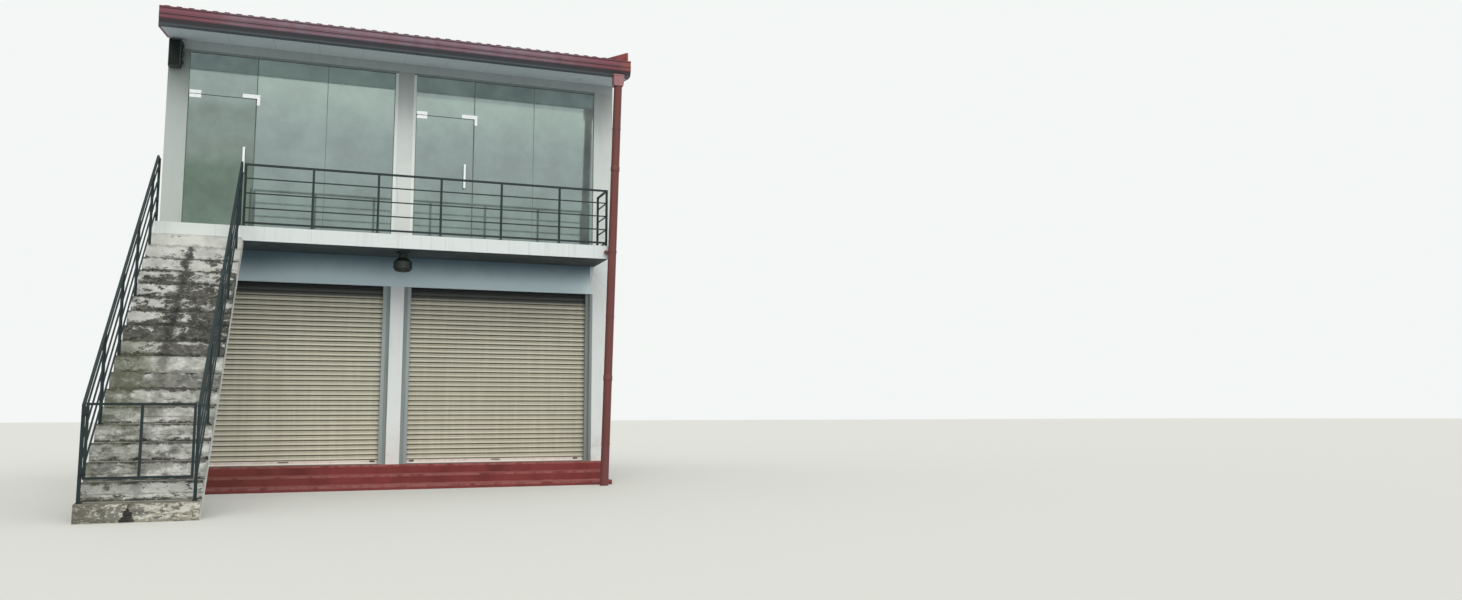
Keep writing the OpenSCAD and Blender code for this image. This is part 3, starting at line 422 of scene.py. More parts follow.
def stairTreads():
    s, cloud, mottle, colour, flank = stairBase("stairTreads")
    uneven = mottle - 0.5
    speck = s.noise(19.0, 6.0, 0.75, (1.0, 1.0, 1.6))
    soilAndShade = s.blend(s.ramp(s.noise(7.0, 4.0, 0.6), 0.4, 0.6), stairLook["dark"], stairLook["brown"])
    soilAndShade = s.blend(s.ramp(speck, 0.5, 0.64) * 0.6, soilAndShade, stairLook["film"])

    def onStep(number):
        top = stairLook["riser"] * number
        foot = top - stairLook["riser"]
        return s.between(s.z, (foot - 0.01, foot + 0.01), (top - 0.01, top + 0.01))

    # where the dirt lies
    dirty = s.ramp(s.z, *stainLook["dirty"])
    worst = s.between(s.z, *stainLook["worst"])
    filmy = s.between(s.z, *stainLook["film"])
    film = s.ramp(s.noise(6.0, 6.0, 0.7, (1.0, 1.0, 1.6)), 0.34, 0.62)
    colour = s.blend(film * (0.1 + 0.26 * dirty + 0.5 * filmy), colour, stairLook["film"])
    load = 0.06 + dirty * (0.21 + 0.16 * s.ramp(s.noise(2.6, 4.0, 0.6), 0.35, 0.65))
    load = load + s.ramp(s.x, -2.7, -2.95) * s.ramp(s.z, *stainLook["left"]) * 0.2
    load = load + worst * (0.14 + 0.24 * s.ramp(s.x, -2.85, -2.5))
    load = load + s.ramp(s.x, -2.65, -2.5) * s.between(s.z, *stainLook["right"]) * 0.25
    load = load + onStep(8) * 0.4 + onStep(11) * s.ramp(s.x, -2.6, -2.75) * 0.5
    blot = s.noise(4.4, 6.0, 0.72, (1.0, 1.0, 2.0)) * 0.6 + mottle * 0.4
    stained = s.ramp(blot + load * 0.2, 0.6, 0.65) * (0.9 - 0.3 * filmy)

    # seams at the head and foot of each riser, dirt with painted shadow under the nosings, and a line
    # along the lowest ones
    along = (s.z / stairLook["riser"]) % 1.0
    head = s.ramp(along + uneven * 0.8, 0.83, 0.96) * (0.25 + 0.7 * dirty)
    foot = s.ramp(along + uneven * 1.2 - 0.14 * worst, 0.24, 0.08) * (0.5 + 0.45 * s.ramp(s.z, 3.3, 3.15))
    line = s.ramp(abs(along - 0.4 + uneven * 0.3), 0.05, 0.015) * s.ramp(s.z, 1.5, 1.2)
    line = line * s.ramp(cloud, 0.4, 0.55) * 0.6
    top = s.ramp(s.facing("Z"), 0.4, 0.9) * (0.55 + 0.35 * dirty)

    # the streak down the middle
    aside = s.x - stairLook["streak"] - s.ramp(s.z, 2.9, 3.3) * 0.05
    aside = abs(aside + (s.noise(1.6, 3.0, 0.5) - 0.5) * 0.12)
    rise, fall = stainLook["streak"]
    streak = s.ramp(aside + uneven * 0.35, 0.075, 0.02)
    streak = streak * (0.3 + 0.52 * s.ramp(s.z, *rise)) * s.ramp(s.z, fall[1], fall[0])
    dirt = s.most(s.maths("MAXIMUM", head, foot) * (1.0 - flank), line, top, streak, stained)
    dirt = dirt * (1.0 - onStep(9) * s.ramp(s.x, -2.9, -2.8) * 0.5)
    colour = s.blend(dirt, colour, soilAndShade)
    colour = s.blend(streak * 0.5, colour, stairLook["dark"])

    # algae at the left, and the yellowed first step with its splashes and its dark mark
    rise, fall = stainLook["green"]
    green = s.ramp(s.x, -2.55, -3.0) * s.ramp(s.noise(5.0, 5.0, 0.6), 0.34, 0.56)
    green = green * s.ramp(s.z, fall[1], fall[0]) * (0.28 + 0.4 * s.ramp(s.z, *rise))
    colour = s.blend(green, colour, stairLook["algae"])
    corner = s.ramp(s.x + uneven * 0.3, -2.95, -3.06) * s.ramp(s.z, 0.3, 0.2)
    colour = s.blend(corner * 0.7, colour, stairLook["brown"])
    first = s.ramp(s.z, *stainLook["first"]) * (1.0 - flank)
    colour = s.blend(first * 0.4, colour, stairLook["yellow"])
    splash = s.ramp(speck * 0.5 + mottle * 0.5 + 0.07 * s.ramp(s.x, -2.4, -2.85), 0.5, 0.56)
    colour = s.blend(first * splash * 0.75, colour, stairLook["brown"])
    mark = s.ramp((0.19 - s.z) * 0.42 - abs(s.x - stairLook["mark"]) + uneven * 0.12, 0.0, 0.015)
    colour = s.blend(first * mark * 0.85, colour, stairLook["dark"])
    return s.done(colour, 0.88 + 0.08 * cloud, gloss=0.25)


def stairSlab():
    s, cloud, mottle, colour, flank = stairBase("stairSlab")
    run = s.ramp(s.noise(3.0, 6.0, 0.65, (3.0, 3.0, 0.8)), 0.42, 0.7)
    colour = s.blend(run * (0.8 - 0.4 * flank), colour, stairLook["brown"])
    colour = s.blend(s.ramp(mottle, 0.52, 0.66) * (0.6 - 0.15 * flank), colour, stairLook["algae"])
    # a pale rim along the slab's upper edge
    slope = stairLook["riser"] / stairLook["going"]
    above = s.z - (s.y + 0.9) * slope - (stairLook["rimLow"] - stairLook["riser"])
    colour = s.blend(s.ramp(above, *stairLook["rimWide"]) * flank * 0.85, colour, stairLook["rim"])
    colour = s.blend((1.0 - flank) * 0.6, colour, stairLook["brown"])
    return s.done(colour, 0.88 + 0.08 * cloud, gloss=0.25)


dress(stairTreads(), "stair_steps")
dress(stairSlab(), "stair_slab")


# iron balustrades, railing and gate: dark green-grey paint with rust at its specks
ironLook = {"paint": srgb(12, 33, 35), "worn": srgb(30, 53, 53), "rust": srgb(70, 50, 40)}
ironPaint = coatedMetal("ironPaint", ironLook["paint"], ironLook["worn"], ironLook["rust"],
                        streaks=0.55, rustAmount=0.16, shine=0.42)
dress(ironPaint, "balustrade_left", "balustrade_right", "stair_gate", "balcony_railing")
print("stage: stair and iron work")


# glass with a mirroring film, grey-green, with painted reflections, paler at the top and darker low down
# and in the left door, and a faint painted glow
glassLook = {"tint": srgb(139, 150, 149), "dust": srgb(150, 160, 152), "low": srgb(124, 138, 133),
             "high": srgb(169, 184, 177), "door": srgb(124, 136, 129), "doorLowReflection": srgb(94, 109, 97),
             "film": 0.72, "rough": 0.06, "paintedGlow": (0.066, 0.087, 0.08, 1.0), "doorEdge": (-2.02, -2.05),
             "bright": (4.7, 5.95), "reflectionBandTop": (5.88, 5.94)}


def filmGlass():
    s = Shader("shopGlass")
    dust = s.noise(2.0, 6.0, 0.6)
    streak = s.noise(3.5, 4.0, 0.6, (6.0, 6.0, 0.4))
    door = s.ramp(s.x, *glassLook["doorEdge"])
    # painted reflections: a bright band high up, dark at the top of the right pane, darker low down and in
    # the left door
    bright = s.ramp(s.z, *glassLook["bright"]) ** 2.0 * (1.0 - 0.6 * door)
    bright = bright * (1.0 - 0.8 * s.ramp(s.z, *glassLook["reflectionBandTop"]) * s.ramp(s.x, 0.0, 0.2))
    colour = s.blend(s.ramp(dust, 0.5, 0.8) * 0.25, glassLook["tint"], glassLook["dust"])
    colour = s.blend(bright, colour, glassLook["high"])
    colour = s.blend(s.ramp(s.z, 4.9, 4.1) * 0.75, colour, glassLook["low"])
    colour = s.blend(door * s.ramp(s.z, 5.64, 5.4), colour, glassLook["door"])
    colour = s.blend(door * s.ramp(s.z + 0.2 * dust, 4.95, 4.65), colour, glassLook["doorLowReflection"])
    # a faint painted glow, in patches
    paintedGlow = s.blend(0.35 + 0.65 * s.ramp(dust, 0.3, 0.7), (0.0, 0.0, 0.0, 1.0), glassLook["paintedGlow"])
    s.feed(s.surface.inputs["Emission Color"], paintedGlow)
    s.relief(s.noise(0.9, 2.0, 0.5), 0.004, 0.12)
    rough = glassLook["rough"] + 0.05 * s.ramp(streak, 0.5, 0.8)
    return s.done(colour, rough, glassLook["film"], gloss=0.6, glow=1.0)


dress(filmGlass(), "shop_glass_left", "shop_glass_right", "glass_door_left", "glass_door_right",
      "rear_window_glass")


# channels round the panes, white at the jambs and foot, with painted shade along the head; the rear frames
# match
frameLook = {"white": srgb(245, 248, 245), "worn": srgb(222, 225, 221), "rust": srgb(150, 140, 128),
             "shadedHead": srgb(128, 136, 130), "headWide": 0.035}


def channelPaint():
    s = Shader("channelPaint")
    run = s.noise(3.0, 5.0, 0.6, (7.0, 7.0, 0.35))
    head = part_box("glass_channels")[1].z - frameLook["headWide"]
    colour = s.blend(s.ramp(run, 0.45, 0.75) * 0.3, frameLook["white"], frameLook["worn"])
    # painted shade along the head
    colour = s.blend(s.ramp(s.z, head, head + 0.008) * 0.85, colour, frameLook["shadedHead"])
    s.relief(s.noise(90.0, 2.0, 0.5), 0.0008, 0.35)
    return s.done(colour, 0.4 + 0.18 * run, gloss=0.45)


dress(channelPaint(), "glass_channels")
dress(coatedMetal("framePaint", frameLook["white"], frameLook["worn"], frameLook["rust"], 0.3, 0.01, 0.4),
      "rear_window_frames")


# door fittings: brushed steel
steelLook = {"bright": srgb(247, 249, 249), "dull": srgb(228, 231, 232), "metal": 0.85}


def satinSteel():
    s = Shader("satinSteel")
    brushed = s.noise(30.0, 3.0, 0.6, (1.0, 1.0, 18.0))
    smudge = s.noise(9.0, 4.0, 0.6)
    s.relief(brushed, 0.0004, 0.3)
    return s.done(s.blend(brushed, steelLook["bright"], steelLook["dull"]), 0.2 + 0.14 * smudge,
                  steelLook["metal"])


dress(satinSteel(), "door_fittings")


# roof and flashings: maroon, orange at the right end
roofLook = {"red": srgb(128, 70, 80), "faded": srgb(150, 98, 102), "orange": srgb(158, 82, 70),
            "dirt": srgb(78, 48, 50), "roofOrange": 3.1, "flashingOrange": 3.0}


def roofCoat(name, orangeFrom):
    s = Shader(name)
    run = s.noise(2.6, 5.0, 0.6, (6.0, 1.2, 0.5))
    patch = s.noise(1.4, 6.0, 0.6)
    colour = s.blend(s.ramp(patch, 0.35, 0.8) * 0.7, roofLook["red"], roofLook["faded"])
    colour = s.blend(s.ramp(run, 0.55, 0.8) * 0.45, colour, roofLook["dirt"])
    colour = s.blend(s.ramp(s.x, orangeFrom, orangeFrom + 0.25) * 0.75, colour, roofLook["orange"])
    s.relief(s.noise(80.0, 2.0, 0.5), 0.0008, 0.35)
    return s.done(colour, 0.48 + 0.2 * patch, gloss=0.45)


dress(roofCoat("roofCoat", roofLook["roofOrange"]), "roof_sheets")
dress(roofCoat("flashingCoat", roofLook["flashingOrange"]), "barge_flashings", "rear_fascia")


# gutter: red front with painted shade in the creases above its folds, and a grey underside, darkened
# higher up by painted shade that also covers the lowest strip of the front
gutterPaint = {"dark": srgb(56, 60, 63), "grey": srgb(92, 102, 106), "chalk": srgb(140, 128, 142),
               "foot": (6.349, 6.341), "folds": (6.49, 6.426, 6.406, 6.382), "foldWide": (0.014, 0.004)}


def gutterCoat():
    s = Shader("gutterCoat")
    run = s.noise(1.6, 5.0, 0.6, (3.0, 1.2, 1.0))
    patch = s.noise(1.4, 6.0, 0.6)
    colour = s.blend(s.ramp(patch, 0.35, 0.8) * 0.5, roofLook["red"], roofLook["faded"])
    colour = s.blend(s.ramp(run, 0.5, 0.8) * 0.25, colour, roofLook["dirt"])
    chalky = s.between(s.x, (-2.9, -2.0), (1.8, 3.0)) * (0.4 + 0.25 * s.ramp(run, 0.6, 0.4))
    colour = s.blend(chalky, colour, gutterPaint["chalk"])
    for height in gutterPaint["folds"]:
        # painted shade in the crease above each of the folds
        foldShade = s.ramp(abs(s.z - height), *gutterPaint["foldWide"])
        colour = s.blend(foldShade * 0.55, colour, roofLook["dirt"])
    colour = s.blend(s.ramp(s.x, 3.1, 3.3) * 0.6, colour, roofLook["orange"])
    # painted shade: the underside and the lowest strip of the front in grey, darkest at the top
    low = s.most(s.ramp(s.z, *gutterPaint["foot"]), s.ramp(s.facing("Z"), -0.5, -0.8))
    below = s.blend(s.ramp(s.z, 6.3, 6.275), gutterPaint["dark"], gutterPaint["grey"])
    colour = s.blend(low * (0.85 + 0.15 * patch), colour, below)
    s.relief(s.noise(80.0, 2.0, 0.5), 0.0008, 0.35)
    return s.done(colour, 0.5 + 0.2 * patch, gloss=0.45)


dress(gutterCoat(), "front_gutter")


# rainwater head and pipe: faded red paint
pipePaint = {"head": (srgb(166, 116, 118), srgb(140, 92, 92), srgb(96, 60, 50)),
             "pipe": (srgb(116, 62, 58), srgb(95, 57, 52), srgb(84, 56, 50))}
dress(coatedMetal("rainHead", *pipePaint["head"]), "rainwater_head")
dress(coatedMetal("pipePaint", *pipePaint["pipe"], 0.6, 0.03, 0.5), "downpipe")


# under the roof: boarded soffit, primed rafters and sawn purlins
underRoof = {"soffit": srgb(241, 247, 248), "stain": srgb(184, 188, 186), "joint": srgb(120, 122, 116),
             "board": 0.6, "primer": (srgb(124, 120, 116), srgb(100, 92, 86), srgb(112, 72, 50)),
             "wood": srgb(168, 132, 92), "grain": srgb(116, 84, 54)}


def soffitPaint():
    s = Shader("soffitPaint")
    cloud = s.noise(1.4, 6.0, 0.6)
    joint = s.ramp(abs((s.x / underRoof["board"]) % 1.0 - 0.5), 0.49, 0.496)
    colour = s.blend(s.ramp(cloud, 0.45, 0.8) * 0.2, underRoof["soffit"], underRoof["stain"])
    colour = s.blend(joint * 0.22, colour, underRoof["joint"])
    s.relief(s.noise(50.0, 3.0, 0.6) - joint, 0.002, 0.4)
    return s.done(colour, 0.75 + 0.1 * cloud, gloss=0.3)


def sawnWood():
    s = Shader("sawnWood")
    grain = s.noise(14.0, 5.0, 0.6, (0.3, 6.0, 6.0))
    s.relief(grain, 0.002, 0.5)
    return s.done(s.blend(s.ramp(grain, 0.3, 0.7), underRoof["wood"], underRoof["grain"]), 0.78, gloss=0.3)


dress(soffitPaint(), "eaves_soffit")
dress(coatedMetal("rafterPrimer", *underRoof["primer"]), "roof_rafters")
dress(sawnWood(), "roof_purlins")


# lamp shells: one plain colour under dust
shellLook = {"slabLamp": srgb(25, 36, 31), "floodlight": srgb(54, 68, 62),
             "soffitLamp": srgb(224, 224, 216), "dust": srgb(96, 94, 88)}


def darkShell(name, colour):
    s = Shader(name)
    dust = s.ramp(s.noise(12.0, 4.0, 0.6), 0.45, 0.75)
    s.relief(s.noise(150.0, 2.0, 0.5), 0.0005, 0.3)
    return s.done(s.blend(dust * 0.3, colour, shellLook["dust"]), 0.42 + 0.2 * dust, gloss=0.45)


dress(darkShell("lampBlack", shellLook["slabLamp"]), "slab_lamp")
dress(darkShell("lampBox", shellLook["floodlight"]), "wall_floodlight")
dress(darkShell("lampWhite", shellLook["soffitLamp"]), "soffit_lamp")
print("stage: glass, roof and lamps")


# shapes that the new pieces are built from
def addBox(work, low, high, edge=0.0):
    centre = (Vector(low) + Vector(high)) / 2
    size = Vector(high) - Vector(low)
    place = Matrix.Translation(centre) @ Matrix.Diagonal((*size, 1.0))
    # rounded in a mesh of its own, so that every run orders the piece's points alike
    box = bmesh.new()
    bmesh.ops.create_cube(box, size=1.0, matrix=place)
    if edge:
        bmesh.ops.bevel(box, geom=box.edges[:], offset=edge, segments=2, profile=0.5, affect="EDGES")
    mesh = bpy.data.meshes.new("box")
    box.to_mesh(mesh)
    box.free()
    work.from_mesh(mesh)
    bpy.data.meshes.remove(mesh)


def addRod(work, start, end, radius, sides=12, tip=None):
    axis = Vector(end) - Vector(start)
    middle = (Vector(start) + Vector(end)) / 2
    place = Matrix.Translation(middle) @ axis.to_track_quat("Z", "Y").to_matrix().to_4x4()
    bmesh.ops.create_cone(work, cap_ends=True, segments=sides, radius1=radius,
                          radius2=radius if tip is None else tip, depth=axis.length, matrix=place)


def addLathe(work, centre, axis, profile, sides=32):
    # the profile's points are (radius, distance along the axis), from one end to the other
    turn = Vector(axis).to_track_quat("Z", "Y")
    rings = []
    for radius, along in profile:
        ring = []
        for k in range(sides):
            angle = 2 * math.pi * k / sides
            point = Vector((radius * math.cos(angle), radius * math.sin(angle), along))
            ring.append(work.verts.new(Vector(centre) + turn @ point))
        rings.append(ring)
    for lower, upper in zip(rings, rings[1:]):
        for k in range(sides):
            work.faces.new((lower[k], lower[(k + 1) % sides], upper[(k + 1) % sides], upper[k]))


def addBar(work, outline, low, high):
    # an outline of (y, z) points drawn out along x, closed at both ends
    ends = [[work.verts.new((x, y, z)) for y, z in outline] for x in (low, high)]
    count = len(outline)
    for k in range(count):
        work.faces.new((ends[0][k], ends[0][(k + 1) % count], ends[1][(k + 1) % count], ends[1][k]))
    work.faces.new(ends[0])
    work.faces.new(ends[1])


def addBolt(work, place, axis, size):
    # a washer under a six-sided head
    out = Vector(axis).normalized()
    foot = Vector(place)
    addRod(work, foot, foot + out * size * 0.18, size, 14)
    addRod(work, foot + out * size * 0.15, foot + out * size * 0.75, size * 0.62, 6, size * 0.56)


def makePiece(name, material, build, body="root", smooth=40):
    work = bmesh.new()
    build(work)
    bmesh.ops.remove_doubles(work, verts=work.verts, dist=0.00001)
    bmesh.ops.recalc_face_normals(work, faces=work.faces)
    mesh = bpy.data.meshes.new(name)
    work.to_mesh(mesh)
    work.free()
    mesh.materials.append(material)
    mesh.polygons.foreach_set("use_smooth", [True] * len(mesh.polygons))
    mesh.set_sharp_from_angle(angle=math.radians(smooth))
    piece = bpy.data.objects.new(name, mesh)
    bpy.context.scene.collection.objects.link(piece)
    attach(piece, body)
    return piece


# sizes that the pieces share with the building, taken from the frame
slabLow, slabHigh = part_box("first_floor_slab")
floorLevel = slabHigh.z
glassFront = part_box("shop_glass_left")[0].y
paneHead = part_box("glass_channels")[1].z - 0.03
paneFoot = floorLevel + 0.02
# each shop front's door and pane, and where the pane is jointed
shopFronts = ((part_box("glass_door_left"), "shop_glass_left", -1.071),
              (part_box("glass_door_right"), "shop_glass_right", 2.005))

# thin seals along the panes' edges, a clear joint between panes, dark gaskets at the head and left jamb
# whose darkness also stands for the shadow line along the glass
sealLook = {"wide": 0.008, "proud": 0.002, "back": 0.0004, "joint": 0.007, "round": 0.0008,
            "edge": srgb(124, 138, 131), "dark": srgb(62, 70, 66), "dust": srgb(104, 106, 98)}
gasketLook = {"proud": 0.003, "tall": 0.008, "jamb": (-0.006, 0.001), "door": (-0.004, 0.006)}


def addSeal(work, x0, x1, z0, z1, proud=sealLook["proud"]):
    addBox(work, (x0, glassFront - proud, z0), (x1, glassFront + sealLook["back"], z1), sealLook["round"])


def glassSeals(work):
    wide = sealLook["wide"]
    for door, pane, middle in shopFronts:
        low, high = door
        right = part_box(pane)[1].x
        for x, z0, z1 in ((low.x, low.z, high.z), (high.x - wide, low.z, high.z),
                          (high.x + 0.003, paneFoot, paneHead), (right - wide, paneFoot, paneHead),
                          (middle - sealLook["joint"] / 2, paneFoot, paneHead)):
            addSeal(work, x, x + wide, z0, z1)
        addSeal(work, low.x, high.x, low.z, low.z + wide)


def headGaskets(work):
    proud = gasketLook["proud"]
    for door, pane, _ in shopFronts:
        low, high = door
        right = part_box(pane)[1].x
        addSeal(work, low.x, right, paneHead - gasketLook["tall"], paneHead, proud)
        addSeal(work, *[low.x + step for step in gasketLook["jamb"]], paneFoot, paneHead, proud)
        addSeal(work, low.x, high.x, *[high.z + step for step in gasketLook["door"]])


def rubber(name, colour):
    s = Shader(name)
    dust = s.ramp(s.noise(8.0, 5.0, 0.6), 0.45, 0.75)
    s.relief(s.noise(90.0, 3.0, 0.5), 0.0006, 0.3)
    return s.done(s.blend(dust * 0.4, colour, sealLook["dust"]), 0.6 + 0.2 * dust, gloss=0.35)


makePiece("glass_seals", rubber("sealEdge", sealLook["edge"]), glassSeals)
# the dark gaskets also stand for the shadow line at the head and left jamb
makePiece("head_gaskets", rubber("sealDarkAndShadow", sealLook["dark"]), headGaskets)
print("stage: seals")


# foot plates with four bolts under the posts of the railing and of the two balustrades
plateLook = {"thick": 0.006, "round": 0.0012, "bolt": 0.007, "inset": 0.011, "post": 0.03}
balconyRail = {"spacing": 0.864, "posts": 6, "shift": 0.002, "plate": (0.09, 0.05), "returnY": -0.312,
               "returnPlate": (0.06, 0.09), "returnShift": -0.008}
flight = {"going": 0.2083, "risers": 19, "head": slabLow.y, "posts": (1, 5, 9, 13, 17),
          "plate": (0.05, 0.09), "topPost": -0.77, "shift": 0.004}


def addPlate(work, x, y, z, size):
    thick = plateLook["thick"]
    halfX, halfY = size[0] / 2, size[1] / 2
    addBox(work, (x - halfX, y - halfY, z), (x + halfX, y + halfY, z + thick), plateLook["round"])
    for dx in (plateLook["inset"] - halfX, halfX - plateLook["inset"]):
        for dy in (plateLook["inset"] - halfY, halfY - plateLook["inset"]):
            addBolt(work, (x + dx, y + dy, z + thick), (0, 0, 1), plateLook["bolt"])


def railPlates(work):
    low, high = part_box("balcony_railing")
    half = plateLook["post"] / 2
    for k in range(balconyRail["posts"]):
        addPlate(work, low.x + half + k * balconyRail["spacing"], low.y + half + balconyRail["shift"],
                 floorLevel, balconyRail["plate"])
    addPlate(work, high.x - half + balconyRail["returnShift"], balconyRail["returnY"], floorLevel,
             balconyRail["returnPlate"])


def flightPlates(work):
    riser = floorLevel / flight["risers"]
    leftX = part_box("balustrade_left")[0].x + plateLook["post"] / 2 + flight["shift"]
    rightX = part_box("balustrade_right")[0].x + plateLook["post"] / 2
    for k in flight["posts"]:
        y = flight["head"] - (flight["risers"] - k - 0.5) * flight["going"]
        for x in (leftX, rightX):
            addPlate(work, x, y, k * riser, flight["plate"])
    addPlate(work, leftX, flight["topPost"], floorLevel, flight["plate"])


makePiece("railing_plates", ironPaint, railPlates)
makePiece("flight_plates", ironPaint, flightPlates)


# small slide bolt behind the gate's top bar, and its keeper on the right foot post
latchLook = {"height": 1.1475, "long": 0.09, "radius": 0.005, "sleeve": 0.008, "axis": 0.008, "knob": 0.03,
             "plate": 0.002, "half": 0.011, "round": 0.0006}


def gateLatch(work):
    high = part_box("stair_gate")[1]
    z, half = latchLook["height"], latchLook["half"]
    axis = high.y + latchLook["axis"]
    x0, x1 = high.x - latchLook["long"], high.x - 0.001
    addBox(work, (x0 + 0.01, high.y - 0.0005, z - half),
           (x1 - 0.012, high.y + latchLook["plate"], z + half), latchLook["round"])
    addRod(work, (x0, axis, z), (x1, axis, z), latchLook["radius"], 16)
    for x in (x0 + 0.018, x1 - 0.024):
        addRod(work, (x - 0.006, axis, z), (x + 0.006, axis, z), latchLook["sleeve"], 16)
    addRod(work, (x0 + 0.004, axis, z), (x0 + 0.004, high.y + latchLook["knob"], z), 0.003, 10)


def gateKeeper(work):
    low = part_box("balustrade_right")[0]
    z, half = latchLook["height"], latchLook["half"]
    front = low.y + plateLook["post"]
    axis = front + latchLook["axis"]
    addBox(work, (low.x + 0.001, front - 0.001, z - half),
           (low.x + 0.026, front + latchLook["plate"], z + half), latchLook["round"])
    addRod(work, (low.x + 0.004, axis, z), (low.x + 0.014, axis, z), latchLook["sleeve"], 16)
    addBolt(work, (low.x + 0.021, front + latchLook["plate"], z), (0, 1, 0), 0.0035)


makePiece("gate_latch", ironPaint, gateLatch, "gate")
makePiece("gate_keeper", ironPaint, gateKeeper)
print("stage: plates and latch")


# roof: screws through every rib into the purlins, and the lap of each sheet
roofPlan = {"pitch": math.radians(12), "eave": 0.95, "level": 6.5, "ribPitch": 0.147, "ribHeight": 0.035,
            "purlins": 8, "purlinWide": 0.05, "first": -0.84, "depth": 6.5, "screw": 0.009,
            "sheetRibs": 5, "lap": (-0.028, 0.029), "lapThick": 0.0016, "capped": 0.3}


def onRoof(x, along, height):
    # a point by its distance up the slope from the eaves and its height above the sheets
    run, rise = math.cos(roofPlan["pitch"]), math.sin(roofPlan["pitch"])
    return Vector((x, along * run - height * rise - roofPlan["eave"],
                   roofPlan["level"] + along * rise + height * run))


def roofScrews(work):
    low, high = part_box("roof_sheets")
    pitch = roofPlan["ribPitch"]
    count = int((high.x - low.x) / pitch)
    margin = (high.x - low.x - count * pitch) / 2
    step = (roofPlan["depth"] - roofPlan["purlinWide"] - roofPlan["first"]) / (roofPlan["purlins"] - 1)
    out = onRoof(0, 0, 1) - onRoof(0, 0, 0)
    for i in range(count):
        x = low.x + margin + (i + 0.5) * pitch
        for j in range(roofPlan["purlins"]):
            y = roofPlan["first"] + j * step + roofPlan["purlinWide"] / 2
            along = (y + roofPlan["eave"]) / math.cos(roofPlan["pitch"])
            # the last ribs lie under the barge capping and have screws in the lowest row only
            if x < high.x - roofPlan["capped"] or j == 0:
                addBolt(work, onRoof(x, along, roofPlan["ribHeight"]), out, roofPlan["screw"])


def sheetLaps(work):
    low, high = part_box("roof_sheets")
    length = (high.y + roofPlan["eave"]) / math.cos(roofPlan["pitch"])
    wide = roofPlan["ribPitch"] * roofPlan["sheetRibs"]
    place = Matrix.Translation((0, -roofPlan["eave"], roofPlan["level"]))
    place = place @ Matrix.Rotation(roofPlan["pitch"], 4, "X")
    left, right = roofPlan["lap"]
    x = low.x + wide + roofPlan["ribPitch"] * 0.5
    while x < high.x - 0.4:
        first = len(work.verts)
        addBox(work, (x + left, 0.004, roofPlan["ribHeight"] - 0.0005),
               (x + right, length - 0.01, roofPlan["ribHeight"] + roofPlan["lapThick"]))
        work.verts.ensure_lookup_table()
        bmesh.ops.transform(work, verts=work.verts[first:], matrix=place)
        x += wide


# gutter: sleeves over its joints, in strips given down from the top and back from the front, with rivets
gutterLook = {"joints": (-1.38, 0.42, 2.2), "sleeve": 0.055, "proud": 0.0018, "round": 0.0006,
              "strips": ((0.082, 0.026, 0.008), (0.104, 0.088, 0.0), (0.148, 0.134, 0.0)),
              "rivet": 0.003, "rivetHigh": 0.0015, "rivetAside": 0.016}


def gutterSleeves(work):
    low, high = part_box("front_gutter")
    half = gutterLook["sleeve"] / 2
    for x in gutterLook["joints"]:
        for down0, down1, back in gutterLook["strips"]:
            z0, z1, y = high.z - down0, high.z - down1, low.y + back
            face = y - gutterLook["proud"]
            addBox(work, (x - half, face, z0), (x + half, y + 0.001, z1), gutterLook["round"])
            for dx in (-gutterLook["rivetAside"], gutterLook["rivetAside"]):
                addRod(work, (x + dx, face, (z0 + z1) / 2),
                       (x + dx, face - gutterLook["rivetHigh"], (z0 + z1) / 2), gutterLook["rivet"], 8)


# flashing: overlaps of its lengths along the slope and the screws at their edge
flashingLook = {"length": 2.0, "screwStep": 0.5, "firstLap": 1.4, "firstScrew": 0.3, "half": 0.03,
                "proud": 0.001, "lap": (-0.17, 0.14), "screws": (-0.12, 0.11), "screw": 0.005}


def flashingLaps(work):
    low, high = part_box("barge_flashings")
    half = flashingLook["half"]

    def levelAt(y):
        return roofPlan["level"] + (y + roofPlan["eave"]) * math.tan(roofPlan["pitch"])

    y = low.y + flashingLook["firstLap"]
    while y < high.y - 0.3:
        below, above = [levelAt(y) + step for step in flashingLook["lap"]]
        addBox(work, (high.x - half, y - half, below),
               (high.x + flashingLook["proud"], y + half, above), 0.0006)
        y += flashingLook["length"]
    y = low.y + flashingLook["firstScrew"]
    while y < high.y - 0.1:
        for step in flashingLook["screws"]:
            addBolt(work, (high.x, y, levelAt(y) + step), (1, 0, 0), flashingLook["screw"])
        y += flashingLook["screwStep"]


makePiece("roof_screws", paintOf("roof_sheets"), roofScrews)
makePiece("sheet_laps", paintOf("roof_sheets"), sheetLaps)
makePiece("gutter_sleeves", paintOf("front_gutter"), gutterSleeves)
makePiece("flashing_laps", paintOf("barge_flashings"), flashingLaps)
print("stage: roof details")


# downpipe: sockets where its lengths join and wall straps, each outline as (out from the pipe, along it)
pipeLook = {"radius": 0.0625, "footY": 0.0675,
            "sockets": ((1.55, 4.75), ((-0.001, 0.0), (0.006, 0.002), (0.006, 0.075), (0.002, 0.082),
                                       (-0.001, 0.082))),
            "straps": ((0.6, 2.5, 5.4), ((-0.001, 0.0), (0.003, 0.001), (0.003, 0.029), (-0.001, 0.03)))}


def pipeCollars(work):
    low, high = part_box("downpipe")
    radius = pipeLook["radius"]
    foot = Vector((low.x + radius, low.y + pipeLook["footY"], 0))
    along = Vector((high.x - radius, foot.y, high.z)) - foot
    for heights, outline in (pipeLook["sockets"], pipeLook["straps"]):
        for z in heights:
            profile = [(radius + out, distance) for out, distance in outline]
            addLathe(work, foot + along * z / high.z, along, profile, 40)


# folded rim round the top of the rainwater head
rimLook = {"wide": 0.004, "heights": (-0.022, -0.002), "round": 0.0015}


